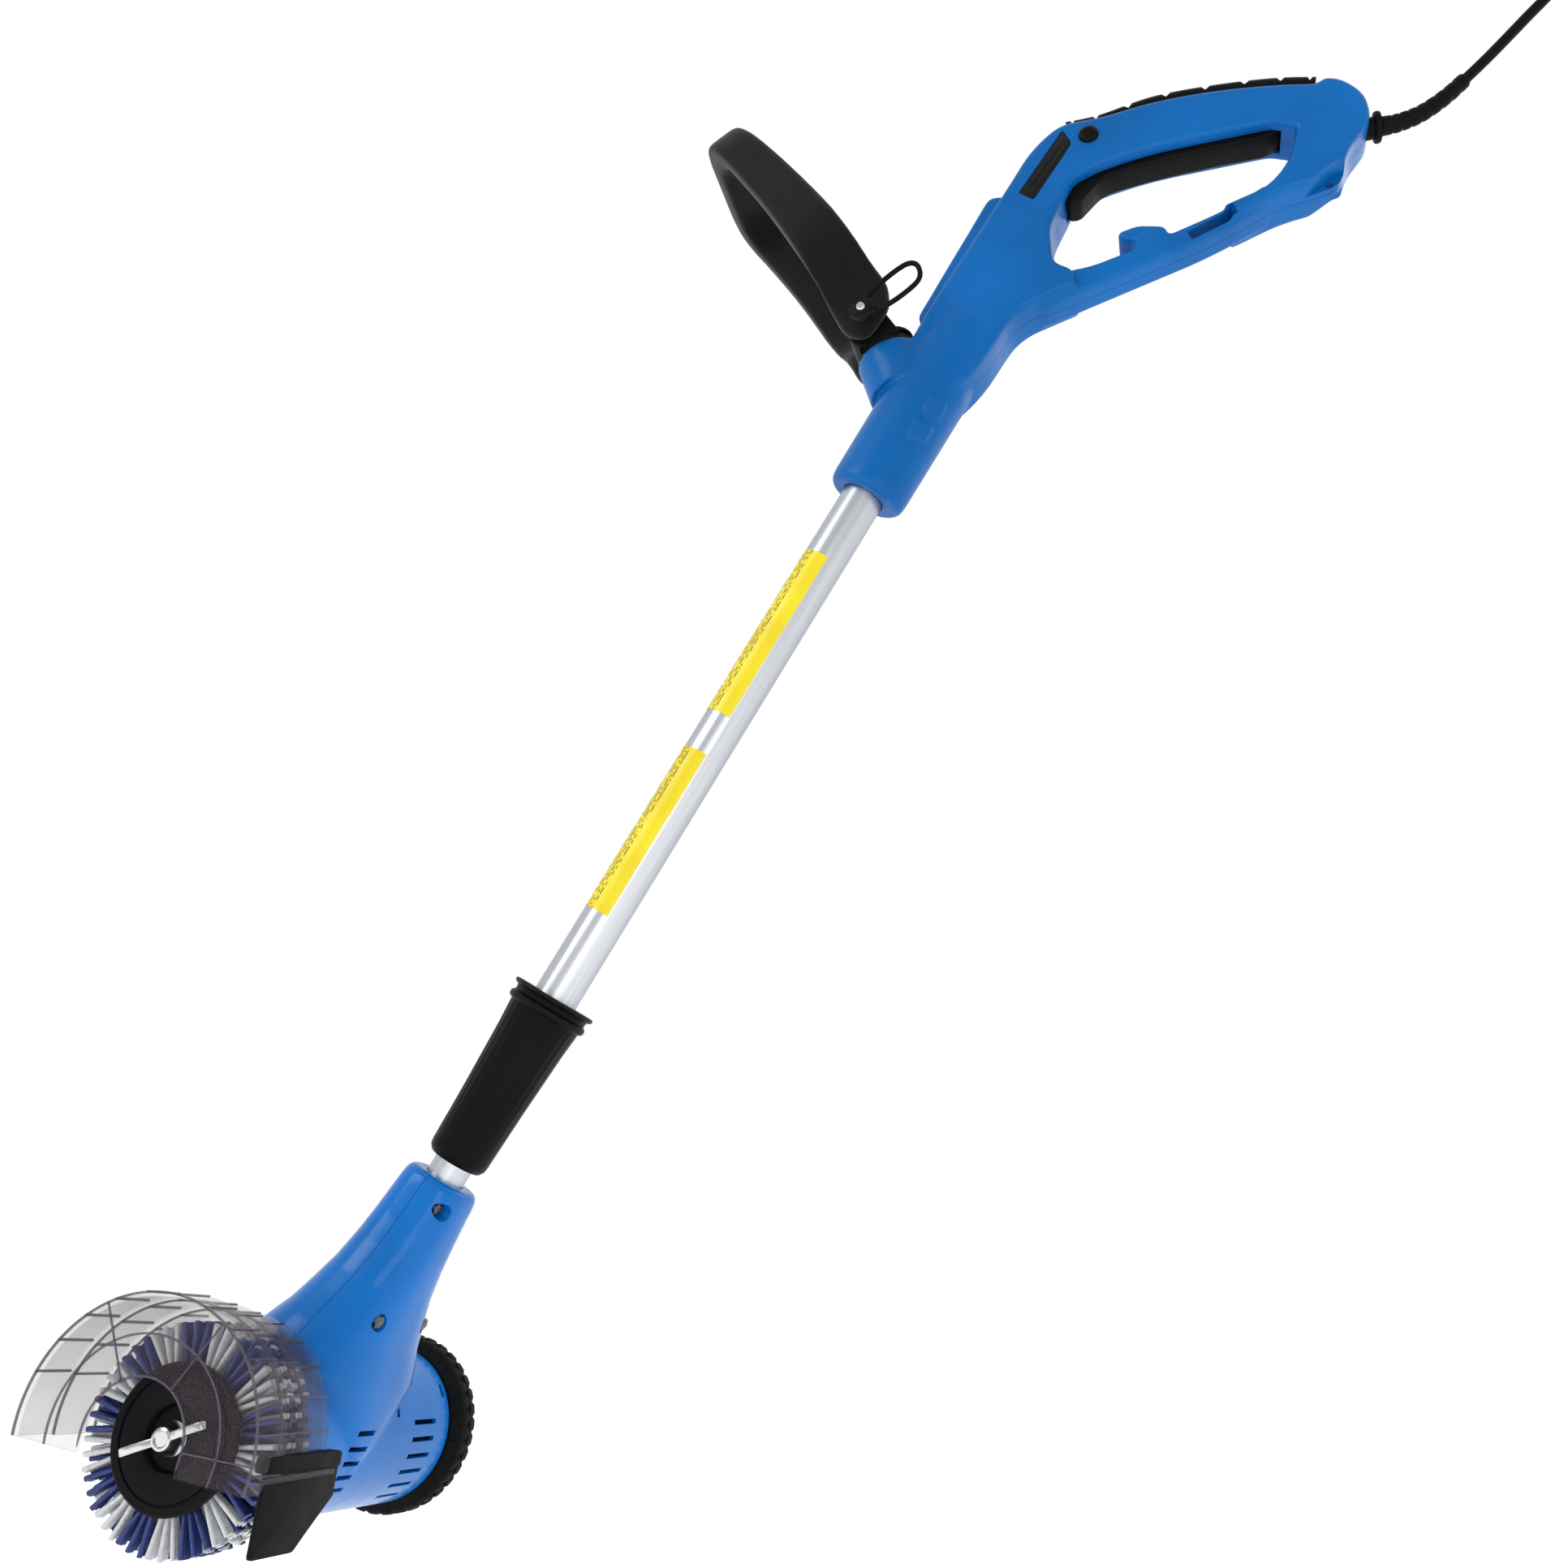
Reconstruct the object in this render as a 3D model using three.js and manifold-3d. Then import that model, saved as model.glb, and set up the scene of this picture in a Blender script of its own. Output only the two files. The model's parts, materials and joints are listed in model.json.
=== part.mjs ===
// Corded electric weed brush: a rotating bristle brush and a support wheel on a telescopic tube,
// with a loop handle at the top and a tilting front handle. Millimetres, +Z up.
//
// The tool is built upright first: z runs up the tube from the brush axis, x points to the user's
// side, -y is the brush side. One group then leans it to its working angle and moves the centre of
// the rear grip to the origin.
import * as THREE from 'three';
import Module from 'manifold-3d';

const wasm = await Module();
wasm.setup();

// ---- driving dimensions ------------------------------------------------------------------------
const LEAN = 25.7;              // degrees between the tube and the vertical at work
const GAP = 0.3;                // clearance between pieces that touch
const GRIP = { x: 66, z: 925 }; // centre of the rear grip, the origin of the part

const TUBE = { radius: 13, wall: 1.4, bottom: 168, top: 696 };
const SLIDE_TUBE = { radius: 11, wall: 1.4, bottom: 62, top: 430 };
const SLEEVE = { bottom: 160, top: 264 };
const LABEL = { thick: 0.3, spans: [[318, 427], [453, 568]], from: -160, to: -60 };

const BARREL = { x: 1, halfX: 25, halfY: 22, bottom: 617, top: 700 };
const BODY_HALF = 17;           // half width of the handle's body and rear grip
const BAR_HALF = 11;            // half width of the loop's lower bar

const DRUM = { radius: 43, wall: 2.5, brushEnd: 58, wheelEnd: -101 };
const ARM_TOP = 150;
const WHEEL = { radius: 50, inner: 42, near: -103, far: -121 };
const BRUSH = { radius: 52.5, root: 30, back: 66, front: 95.5 };
const HUB = { radius: 34, face: 100 };
const GUARD = {
  wall: 2, arch: 27, bottom: -10, turn: 5,
  steps: [[60, 82, 58], [82, 106, 61.5], [106, 130, 64.5]],
};
const GEAR = { module: 1.5, sun: 8, planet: 10, ring: 28 };

// ---- materials ---------------------------------------------------------------------------------
const finish = (color, roughness, metalness = 0) => ({ color, roughness, metalness });
const BLUE = finish(0x0a64b8, 0.35);
const BLACK = finish(0x101012, 0.5);
const RUBBER = finish(0x18181a, 0.8);
const ALUMINIUM = finish(0xc4c7cc, 0.3, 1);
const STEEL = finish(0x9a9da3, 0.35, 1);
const YELLOW = finish(0xe6d200, 0.5);
const SMOKE = finish(0xb9aeb2, 0.1);
const BRISTLE = finish(0x1d2f78, 0.6);
const COPPER = finish(0xb06a38, 0.4, 1);
const NYLON = finish(0xe4e0d2, 0.5);

const tool = new THREE.Group();

function add(name, geometry, look, parent = tool) {
  const mesh = new THREE.Mesh(toGeometry(toSolid(geometry)), new THREE.MeshStandardMaterial(look));
  mesh.name = name;
  parent.add(mesh);
  return mesh;
}

// ---- geometry helpers --------------------------------------------------------------------------
const rad = THREE.MathUtils.degToRad;
const WELDS_PER_MM = 20000;

// Joins equal corners, so that neighbouring faces share them, and drops faces of no area.
function weld(geometry) {
  const { array } = geometry.attributes.position;
  const count = array.length / 3;
  const index = geometry.index ? geometry.index.array : Array.from({ length: count }, (_, i) => i);
  const places = new Map();
  const corners = [];
  const welded = Array.from({ length: count }, (_, i) => {
    const corner = [array[3 * i], array[3 * i + 1], array[3 * i + 2]];
    const key = corner.map((v) => Math.round(v * WELDS_PER_MM)).join();
    if (!places.has(key)) {
      places.set(key, corners.length / 3);
      corners.push(...corner);
    }
    return places.get(key);
  });
  const faces = [];
  for (let i = 0; i < index.length; i += 3) {
    const [a, b, c] = [welded[index[i]], welded[index[i + 1]], welded[index[i + 2]]];
    if (a !== b && b !== c && c !== a) faces.push([a, b, c]);
  }
  return { corners, faces };
}

function toSolid(geometry) {
  const { corners, faces } = weld(geometry);
  const at = (i) => new THREE.Vector3(...corners.slice(3 * i, 3 * i + 3));
  const volume = faces.reduce((sum, [a, b, c]) => sum + at(a).dot(at(b).cross(at(c))), 0);
  const outward = volume < 0 ? faces.map(([a, b, c]) => [a, c, b]) : faces;
  const mesh = new wasm.Mesh({
    numProp: 3,
    vertProperties: new Float32Array(corners),
    triVerts: new Uint32Array(outward.flat()),
  });
  mesh.merge();
  return new wasm.Manifold(mesh);
}

function toGeometry(solid) {
  const mesh = solid.getMesh();
  const geometry = new THREE.BufferGeometry();
  geometry.setAttribute('position', new THREE.BufferAttribute(new Float32Array(mesh.vertProperties), 3));
  geometry.setIndex(new THREE.BufferAttribute(new Uint32Array(mesh.triVerts), 1));
  geometry.computeVertexNormals();
  return geometry;
}

const cut = (from, ...tools) => toGeometry(tools.reduce((s, t) => s.subtract(toSolid(t)), toSolid(from)));
const join = (first, ...others) => (
  toGeometry(others.reduce((s, t) => s.add(toSolid(t)), toSolid(first))));
const common = (a, b) => toGeometry(toSolid(a).intersect(toSolid(b)));

// A closed box between two corners.
function block(low, high) {
  const size = high.map((h, i) => h - low[i]);
  return new THREE.BoxGeometry(...size).translate(...low.map((l, i) => l + size[i] / 2));
}

// A shape whose corners [u, v, radius] are rounded by a curve.
function outline(corners, curve = 3) {
  const shape = new THREE.Shape();
  const count = corners.length;
  const point = (i) => new THREE.Vector2(...corners[(i + count) % count].slice(0, 2));
  for (let i = 0; i < count; i += 1) {
    const here = point(i);
    const radius = corners[i][2] ?? 0;
    const towards = (other) => {
      const step = other.clone().sub(here);
      const reach = Math.min(radius, step.length() * 0.49);
      return here.clone().add(step.setLength(reach));
    };
    const start = towards(point(i - 1));
    const end = towards(point(i + 1));
    if (i === 0) shape.moveTo(start.x, start.y);
    else shape.lineTo(start.x, start.y);
    if (radius > 0) shape.quadraticCurveTo(here.x, here.y, end.x, end.y);
  }
  shape.closePath();
  return new THREE.Shape(withoutStraightPoints(shape.getPoints(curve)));
}

// Leaves out points that repeat or lie on the straight line between their neighbours.
function withoutStraightPoints(points) {
  const apart = points.filter((p, i) => p.distanceTo(points[(i + 1) % points.length]) > 0.4);
  return apart.filter((p, i) => {
    const before = p.clone().sub(apart[(i + apart.length - 1) % apart.length]);
    const after = apart[(i + 1) % apart.length].clone().sub(p);
    return Math.abs(before.cross(after)) > 0.01 * before.length() * after.length();
  });
}

// An x-z outline extruded from y = -half to y = half, its edges rounded by `round`.
function slab(corners, half, round = 0, { curve = 2, holes = [], centre = 0 } = {}) {
  const shape = outline(corners, curve);
  shape.holes = holes.map((hole) => outline(hole, curve));
  const geometry = new THREE.ExtrudeGeometry(shape, {
    depth: 2 * (half - round),
    steps: 1,
    bevelEnabled: round > 0,
    bevelThickness: round,
    bevelSize: round,
    bevelOffset: -round,
    bevelSegments: 1,
  });
  return geometry.rotateX(Math.PI / 2).translate(0, centre + half - round, 0);
}

// A profile of [radius, height] points turned about z.
function turned(profile, segments = 20) {
  const points = profile.map(([r, h]) => new THREE.Vector2(r, h));
  if (profile[0][0] > 0) points.push(points[0].clone());
  return new THREE.LatheGeometry(points, segments).rotateX(Math.PI / 2);
}

// The same about the brush axis: heights count from the tube towards the brush side.
const spun = (profile, segments = 20) => turned(profile, segments).rotateX(Math.PI / 2);
const ring = (inner, outer, low, high) => [[inner, low], [outer, low], [outer, high], [inner, high]];
const rod = (radius, low, high) => [[0, low], [radius, low], [radius, high], [0, high]];

// A solid skinned over equal rings of points, capped at both ends.
function skin(rings) {
  const count = rings[0].length;
  const positions = rings.flat().flatMap((p) => p);
  const index = [];
  for (let r = 0; r + 1 < rings.length; r += 1) {
    for (let i = 0; i < count; i += 1) {
      const [a, b] = [r * count + i, r * count + ((i + 1) % count)];
      index.push(a, b, a + count, b, b + count, a + count);
    }
  }
  const last = (rings.length - 1) * count;
  for (let i = 1; i + 1 < count; i += 1) {
    index.push(0, i + 1, i, last, last + i, last + i + 1);
  }
  const geometry = new THREE.BufferGeometry();
  geometry.setAttribute('position', new THREE.Float32BufferAttribute(positions, 3));
  geometry.setIndex(index);
  return geometry;
}

// A rounded box section: half sizes along x and y at height z.
function section(halfX, halfY, z, power = 2.6, count = 20) {
  return Array.from({ length: count }, (_, i) => {
    const a = (2 * Math.PI * i) / count;
    const soften = (v) => Math.sign(v) * Math.abs(v) ** (2 / power);
    return [halfX * soften(Math.cos(a)), halfY * soften(Math.sin(a)), z];
  });
}

// A pan-head screw along +z with its head's underside at z = 0.
const screw = (radius, length) => turned([
  [0, -length], [radius, -length], [radius, 0], [radius * 1.9, 0],
  [radius * 1.9, radius * 0.7], [radius * 1.3, radius * 1.2], [0, radius * 1.2],
], 6);

// ---- handle: two shells around the tube, loop grip, lower bar and front boss --------------------
const PIVOT = { x: -50, z: 716 };        // front handle's tilt axis
const BOSS_TILT = 47;                    // degrees between the front boss and the tube
const BOSS_FOOT = { x: -8, z: 686 };     // where the boss axis leaves the tube's middle
const BOSS_END = 37;                     // how far the boss reaches along its axis
const CORD_EXIT = { x: 164, z: 966 };
const BOOT_TILT = 58;                    // degrees between the cord's exit and the tube

const BODY_OUTLINE = [
  [-21, 690, 0], [-23, 744, 6], [-21, 845, 6], [-21, 876, 12], [-13, 901, 10], [10, 914, 10],
  [34, 934, 30], [66, 953, 30], [100, 968, 30], [124, 976, 3], [127, 982, 3], [138, 984, 10],
  [155, 977, 8], [166, 961, 8], [163, 938, 6], [166, 918, 4], [158, 909, 5], [140, 894, 10],
  [120, 868, 0], [112, 874, 0], [130, 895, 8], [134, 915, 10], [128, 942, 5], [112, 940, 4],
  [84, 922, 20], [50, 900, 20], [26, 878, 10], [16, 864, 5], [19, 826, 8], [34, 803, 6],
  [48, 802, 4], [56, 793, 4], [29, 762, 14], [27, 690, 0],
];
const BAR_OUTLINE = [
  [34, 775, 0], [42, 773, 4], [60, 794, 20], [114, 855, 20], [139, 893, 8], [128, 902, 6],
  [114, 877, 20], [89, 848, 3], [84, 853, 4], [68, 848, 4], [59, 839, 3], [62, 835, 2],
  [72, 837, 2], [74, 831, 3], [56, 812, 6], [34, 797, 0],
];

// A slot through the bar that the extension lead is tucked into.
const CORD_SLOT = [[98.6, 852.1], [104.4, 847.9], [122.4, 871.9], [116.6, 876.1]];

function bossPiece(profile, segments = 20) {
  return turned(profile, segments).rotateY(rad(-BOSS_TILT)).translate(BOSS_FOOT.x, 0, BOSS_FOOT.z);
}

// Moves a turned piece so that its axis runs along +y from the point x, z.
const across = (geometry, x, z, y = 0) => geometry.rotateX(-Math.PI / 2).translate(x, y, z);

const TRIGGER_PIVOT = { x: 115, z: 947 };
const TRIGGER_TRAVEL = 3;                // degrees of squeeze
function triggerOutline(grow) {
  const g = grow;
  return [
    [110 + g, 951 + g, 3], [84, 938 + g, 20], [46, 912 + g, 20], [24 - g, 890 + g, 8],
    [14 - g, 868, 4], [17 - g, 850 - g, 4], [25 + g, 853 - g, 4], [30, 876 - g, 8],
    [54, 896 - g, 20], [86, 918 - g, 20], [112 + g, 934 - g, 3], [120 + g, 946, 3],
  ];
}

function squeezed(geometry, degrees) {
  return geometry
    .translate(-TRIGGER_PIVOT.x, 0, -TRIGGER_PIVOT.z)
    .rotateY(rad(degrees))
    .translate(TRIGGER_PIVOT.x, 0, TRIGGER_PIVOT.z);
}

const LOCK_BUTTON = { x: 10, z: 897, radius: 6, travel: 3 };
const SCREWS = [[30, 784], [82, 834], [149, 921], [146, 943], [19.6, 655]];
const CHAMBER = [[-14, 700], [18, 700], [20, 760], [12, 850], [10, 880], [-12, 880], [-16, 840]];
const GRIP_CHANNEL = [[0, 876], [16, 892], [40, 916], [72, 937], [122, 958], [160, 962],
  [156, 974], [122, 970], [72, 949], [34, 930], [4, 904], [-8, 890]];

function handleShells() {
  const barrel = skin([
    section(BARREL.halfX - 3, BARREL.halfY - 3, BARREL.bottom, 2),
    section(BARREL.halfX, BARREL.halfY, BARREL.bottom + 7, 2),
    section(BARREL.halfX, BARREL.halfY, BARREL.top, 2.2),
    section(BARREL.halfX - 4, BARREL.halfY - 4, BARREL.top + 50),
  ]).translate(BARREL.x, 0, 0);
  const boss = bossPiece([[0, 8], [21, 8], [21, BOSS_END], [0, BOSS_END]]);
  const body = slab(BODY_OUTLINE, BODY_HALF, 2);
  const bar = slab(BAR_OUTLINE, BAR_HALF, 2, { curve: 3 });
  const spine = slab([[-29, 738, 6], [-31, 838, 5], [-12, 846, 2], [-12, 736, 2]], 11);
  const bumps = [658, 676].map((z) => (
    block([15, -6, z], [25, 6, z + 11]).rotateZ(rad(-45)).translate(BARREL.x, 0, 0)));
  const whole = join(body, bar, barrel, boss, spine, ...bumps);
  const trigger = triggerOutline(1.6);
  const hollows = [
    turned(rod(TUBE.radius + GAP, 600, TUBE.top + GAP), 24),
    slab(CHAMBER, 14),
    slab(GRIP_CHANNEL, 7),
    slab(trigger, 9.6),
    squeezed(slab(trigger, 9.6), TRIGGER_TRAVEL),
    across(turned(rod(3.3, -14, 14), 16), TRIGGER_PIVOT.x, TRIGGER_PIVOT.z),
    across(turned(rod(LOCK_BUTTON.radius + GAP, -30, -6), 24), LOCK_BUTTON.x, LOCK_BUTTON.z),
    bossPiece(rod(5.2, 18, 60), 16),
    turned(rod(7.2, -16, 20), 20).rotateY(rad(BOOT_TILT)).translate(CORD_EXIT.x, 0, CORD_EXIT.z),
    slab(CORD_SLOT, 30),
    across(turned(rod(2.6, -30, 30), 12), 168, 914),
    ...[-1, 1].map((side) => slab(INSET, 2, 0, { centre: side * (BODY_HALF - 1) })),
    ...SCREWS.flatMap(([x, z]) => [
      across(turned(rod(2.3, -7, 14), 8), x, z),
      across(turned(rod(4.6, 0, 30), 12), x, z, BODY_HALF - 9),
    ]),
  ];
  const shell = cut(whole, ...hollows);
  const right = common(shell, block([-200, -60, 500], [260, -GAP / 2, 1100]));
  const left = common(shell, block([-200, GAP / 2, 500], [260, 60, 1100]));
  add('handle_shell_brush_side', right, BLUE);
  add('handle_shell_wheel_side', left, BLUE);
}

const INSET = [[-11, 842, 2], [1, 840, 2], [3, 888, 3], [-8, 896, 3]];

function handleFittings() {
  for (const [side, name] of [[-1, 'brush_side'], [1, 'wheel_side']]) {
    const centre = side * (BODY_HALF - 1);
    const pad = INSET.map(([x, z, r]) => [x + (x < -5 ? GAP : -GAP), z + (z < 860 ? GAP : -GAP), r]);
    add(`inset_pad_${name}`, slab(pad, 1.7, 0.6, { centre }), RUBBER);
  }
  SCREWS.forEach(([x, z], i) => {
    const body = across(screw(2, 14), 0, 0);
    add(`handle_screw_${i + 1}`, body.translate(x, BODY_HALF - 9 + GAP, z), STEEL);
  });
}

// The soft pad on top of the grip, with notches that split it into finger-wide segments.
const PAD_TOP = [[8, 917], [34, 939], [66, 958], [98, 973], [122, 981]];
function gripPad() {
  const spline = new THREE.SplineCurve(PAD_TOP.map((p) => new THREE.Vector2(...p)));
  const upper = spline.getSpacedPoints(10);
  const normalAt = (u) => {
    const t = spline.getTangentAt(u);
    return new THREE.Vector2(-t.y, t.x);
  };
  const thickness = 3.5;
  const high = upper.map((p, i) => p.clone().addScaledVector(normalAt(i / 10), thickness));
  const corners = [...upper, ...high.reverse()].map((p) => [p.x, p.y + GAP, 0]);
  let pad = slab(corners, 13, 1.2);
  const notches = [1, 2, 3, 4, 5, 6].map((i) => {
    const u = i / 7;
    const p = spline.getPointAt(u);
    const slope = Math.atan2(spline.getTangentAt(u).y, spline.getTangentAt(u).x);
    return block([-1, -20, 2], [1, 20, 8]).rotateY(-slope).translate(p.x, 0, p.y);
  });
  pad = cut(pad, ...notches);
  add('top_grip_pad', pad, RUBBER);
}

function triggerGroup() {
  const body = cut(
    slab(triggerOutline(0), 9, 1),
    across(turned(rod(2.9, -20, 20), 16), TRIGGER_PIVOT.x, TRIGGER_PIVOT.z),
  );
  add('trigger', body, BLACK);
  add('trigger_pin', across(turned(rod(2.5, -13, 13), 12), TRIGGER_PIVOT.x, TRIGGER_PIVOT.z), STEEL);
  const button = turned([[0, -BODY_HALF - 3], [LOCK_BUTTON.radius - 1.5, -BODY_HALF - 3],
    [LOCK_BUTTON.radius, -BODY_HALF - 1.5], [LOCK_BUTTON.radius, -12], [0, -12]], 24);
  add('lock_off_button', across(button, LOCK_BUTTON.x, LOCK_BUTTON.z), BLACK);
  add('switch_block', block([-11, -12, 806], [9, 12, 842]), BLACK);
}

// ---- front handle: a wide loop that tilts on a boss ---------------------------------------------
function frontHandle() {
  const seat = BOSS_END + GAP;
  const boss = bossPiece([[0, seat], [19.5, seat], [19.5, seat + 4], [17.5, seat + 5],
    [17.5, seat + 7], [19, seat + 8], [19, seat + 10], [16, seat + 13], [0, seat + 13]], 20);
  const tongueSide = [[-30, 722, 3], [-38, 700, 3], [-60, 704, 10], [-62, 724, 10], [-46, 731, 3]];
  const tongue = slab(tongueSide, 19.5, 2, { curve: 3 });
  const base = cut(
    join(boss, tongue),
    across(turned(rod(4.4, -40, 40), 16), PIVOT.x, PIVOT.z),
    bossPiece(rod(60, 0, seat), 8),
    block([-22.7, -40, 680], [20, 40, 780]),
  );
  add('front_handle_base', base, BLACK);
  add('base_screw', bossPiece(rod(4.6, 22, BOSS_END), 10), STEEL);

  const side = [
    [-40, 730, 6], [-50, 746, 8], [-84, 762, 20], [-120, 780, 30], [-166, 800, 20], [-211, 815, 14],
    [-227, 809, 10], [-223, 793, 10], [-192, 781, 10], [-150, 760, 30], [-113, 738, 30],
    [-72, 712, 12], [-56, 701, 8], [-42, 705, 8],
  ];
  const band = slab(side, 62, 4);
  const slope = Math.atan2(786 - 722, -190 + 50);
  const plan = (half, foot, top, low, r) => [
    [low, -foot, 2], [20, -foot, 12], [64, -half, 20], [top, -half, r],
    [top, half, r], [64, half, 20], [20, foot, 12], [low, foot, 2],
  ];
  const sheet = (corners, depth) => {
    const options = { depth, steps: 1, curveSegments: 5, bevelEnabled: false };
    return new THREE.ExtrudeGeometry(outline(corners), options).translate(0, 0, -depth / 2);
  };
  const frame = cut(sheet(plan(54, 30, 187, -26, 54), 120), sheet(plan(40, 20, 170, -30, 41), 130))
    .rotateY(-slope)
    .translate(PIVOT.x, 0, PIVOT.z);
  const slot = block([-30, -20, -60], [14, 20, 60]).rotateY(-slope).translate(PIVOT.x, 0, PIVOT.z);
  const bolt = across(turned(rod(3.6, -60, 60), 16), PIVOT.x, PIVOT.z);
  add('front_handle_loop', cut(common(band, frame), slot, bolt), BLACK);

  const bolts = turned([[0, -36], [7, -36], [7, -30.5], [3.2, -30.5], [3.2, 34], [0, 34]], 16);
  add('tilt_bolt', across(bolts, PIVOT.x, PIVOT.z), STEEL);
}

function clampLever() {
  const wire = 1.6;
  const y = -38;
  const corners = [[-50, 723], [-48, 738], [-40, 755], [-32, 756], [-27, 745], [-38, 722]];
  const path = new THREE.CatmullRomCurve3(corners.map(([x, z]) => new THREE.Vector3(x, y, z)), true);
  const round = new THREE.Shape().absarc(0, 0, wire, 0, 2 * Math.PI);
  const loop = new THREE.ExtrudeGeometry(round, { steps: 18, curveSegments: 2, extrudePath: path });
  const knob = turned([[0, -41], [6, -41], [8, -40], [8, -36.4], [0, -36.4]], 16);
  const nut = across(knob, PIVOT.x, PIVOT.z);
  add('clamp_lever', join(nut, loop), BLACK);
}

// ---- telescopic tubes, lock sleeve and labels ---------------------------------------------------
function tubes() {
  const { radius, wall, bottom, top } = TUBE;
  add('upper_tube', turned(ring(radius - wall, radius, bottom, top), 28), ALUMINIUM);
  LABEL.spans.forEach(([low, high], i) => {
    const shape = new THREE.Shape();
    const inner = radius + 0.05;
    shape.absarc(0, 0, inner + LABEL.thick, rad(LABEL.from), rad(LABEL.to), false);
    shape.absarc(0, 0, inner + 0.02, rad(LABEL.to), rad(LABEL.from), true);
    const settings = { depth: high - low, curveSegments: 12, bevelEnabled: false };
    const geometry = new THREE.ExtrudeGeometry(shape, settings);
    add(`label_${['lower', 'upper'][i]}`, geometry.translate(0, 0, low), YELLOW);
  });
  const slide = SLIDE_TUBE;
  const slideWall = ring(slide.radius - slide.wall, slide.radius, slide.bottom, slide.top);
  add('slide_tube', turned(slideWall, 24), ALUMINIUM);
}

function lockSleeve() {
  const { bottom, top } = SLEEVE;
  const bore = TUBE.radius + GAP;
  const neck = SLIDE_TUBE.radius + GAP;
  const profile = [
    [neck, bottom], [15, bottom], [17, bottom + 3], [17.6, bottom + 12], [20.5, top - 26],
    [21.5, top - 14], [21.5, top - 11], [24, top - 10], [24, top - 7], [22, top - 6],
    [22.5, top - 3], [25, top - 2], [25, top], [bore, top], [bore, top - 34], [16, top - 36],
    [16, bottom + 4], [neck, bottom + 4],
  ];
  add('lock_sleeve', turned(profile), BLACK);
  const seal = turned(ring(neck, 15.2, bottom + 4.4, TUBE.bottom - 0.6), 24);
  const fingers = turned(ring(TUBE.radius + GAP, 15.4, TUBE.bottom + 4, top - 40), 24);
  add('collet', cut(fingers, block([-20, -1.2, 160], [0, 1.2, 260])), NYLON);
  add('slide_seal', cut(seal, block([-20, -1, 150], [0, 1, 180])), RUBBER);
}

// ---- head: two shells that carry the motor, the gears, the guard and the wheel -------------------
// Vent slots run along the motor: each group has a first angle above the rear, and steps down.
const HEAD_SCREWS = [[12, -14.5, 137], [12, 14.5, 137], [22, -24, 76], [22, 24, 76]];
const SPINDLE = { radius: 5, housing: 19 };
const VENT_HEIGHT = 2.6;
const VENTS = [
  { centre: 4, length: 15, first: 30, step: 10, rows: 5 },
  { centre: -69, length: 25, first: 34, step: 12, rows: 6 },
];

function headShells() {
  const { radius, wall, brushEnd, wheelEnd } = DRUM;
  const arm = skin([
    section(43.4, 10, 4), section(42.5, 34, 20), section(37, 54, 44), section(30, 46, 62),
    section(25, 31, 90), section(22, 23, 122), section(20.5, 20, 144), section(18, 17.5, ARM_TOP),
  ]);
  const armInside = skin([
    section(30, 10, 4), section(33, 32, 20), section(32, 50, 44), section(26.5, 42, 62),
    section(22, 28, 90), section(19, 20, 122), section(17, 16.5, 140),
  ]);
  const drum = spun([
    [0, wheelEnd], [radius - 3, wheelEnd], [radius, wheelEnd + 3], [radius, brushEnd - 3],
    [radius - 3, brushEnd], [0, brushEnd],
  ], 36);
  const drumInside = spun(rod(radius - wall, wheelEnd + wall, brushEnd - wall), 28);
  const slots = VENTS.flatMap(({ centre, length, first, step, rows }) => (
    Array.from({ length: rows }, (_, row) => (
      block(
        [radius - 6, -centre - length / 2, -VENT_HEIGHT / 2],
        [radius + 6, -centre + length / 2, VENT_HEIGHT / 2],
      ).rotateY(rad(row * step - first))))));
  const recesses = HEAD_SCREWS.flatMap(([x, y, z]) => [
    turned(rod(2.3, -60, 20), 10).rotateY(Math.PI / 2).translate(x, y, z),
    turned(rod(4.5, 0, 40), 14).rotateY(Math.PI / 2).translate(x, y, z),
  ]);
  const posts = HEAD_SCREWS.map(([x, y, z]) => (
    turned(rod(6.5, GAP, x + 6), 14).rotateY(Math.PI / 2).translate(0, y, z)));
  const hollow = cut(join(armInside, drumInside), ...posts);
  const shell = cut(
    join(arm, drum),
    hollow,
    turned(rod(SLIDE_TUBE.radius + GAP, SLIDE_TUBE.bottom - GAP, 200), 24),
    spun(rod(SPINDLE.housing + GAP, 40, 60), 28),
    spun(rod(4.2, -120, -90), 16),
    ...slots,
    ...recesses,
  );
  const rear = common(shell, block([GAP / 2, -140, -80], [90, 140, 220]));
  const front = common(shell, block([-90, -140, -80], [-GAP / 2, 140, 220]));
  add('head_shell_rear', rear, BLUE);
  add('head_shell_front', front, BLUE);
  HEAD_SCREWS.forEach(([x, y, z], i) => {
    const body = screw(2, 12).rotateY(Math.PI / 2).translate(x + GAP, y, z);
    add(`head_screw_${i + 1}`, body, STEEL);
  });
}


// An external or internal gear outline, tooth 0 on the +x side.
function gearOutline(teeth, internal = false, turn = 0) {
  const pitch = (GEAR.module * teeth) / 2;
  const sign = internal ? -1 : 1;
  const step = (2 * Math.PI) / teeth;
  const [tip, root] = [pitch + sign * 0.85 * GEAR.module, pitch - sign * 1.2 * GEAR.module];
  const points = [];
  for (let i = 0; i < teeth; i += 1) {
    const centre = turn + i * step;
    for (const [r, a] of [[root, -0.27], [tip, -0.1], [tip, 0.1], [root, 0.27]]) {
      const angle = centre + a * step;
      points.push(new THREE.Vector2(r * Math.cos(angle), r * Math.sin(angle)));
    }
  }
  return points;
}

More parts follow.
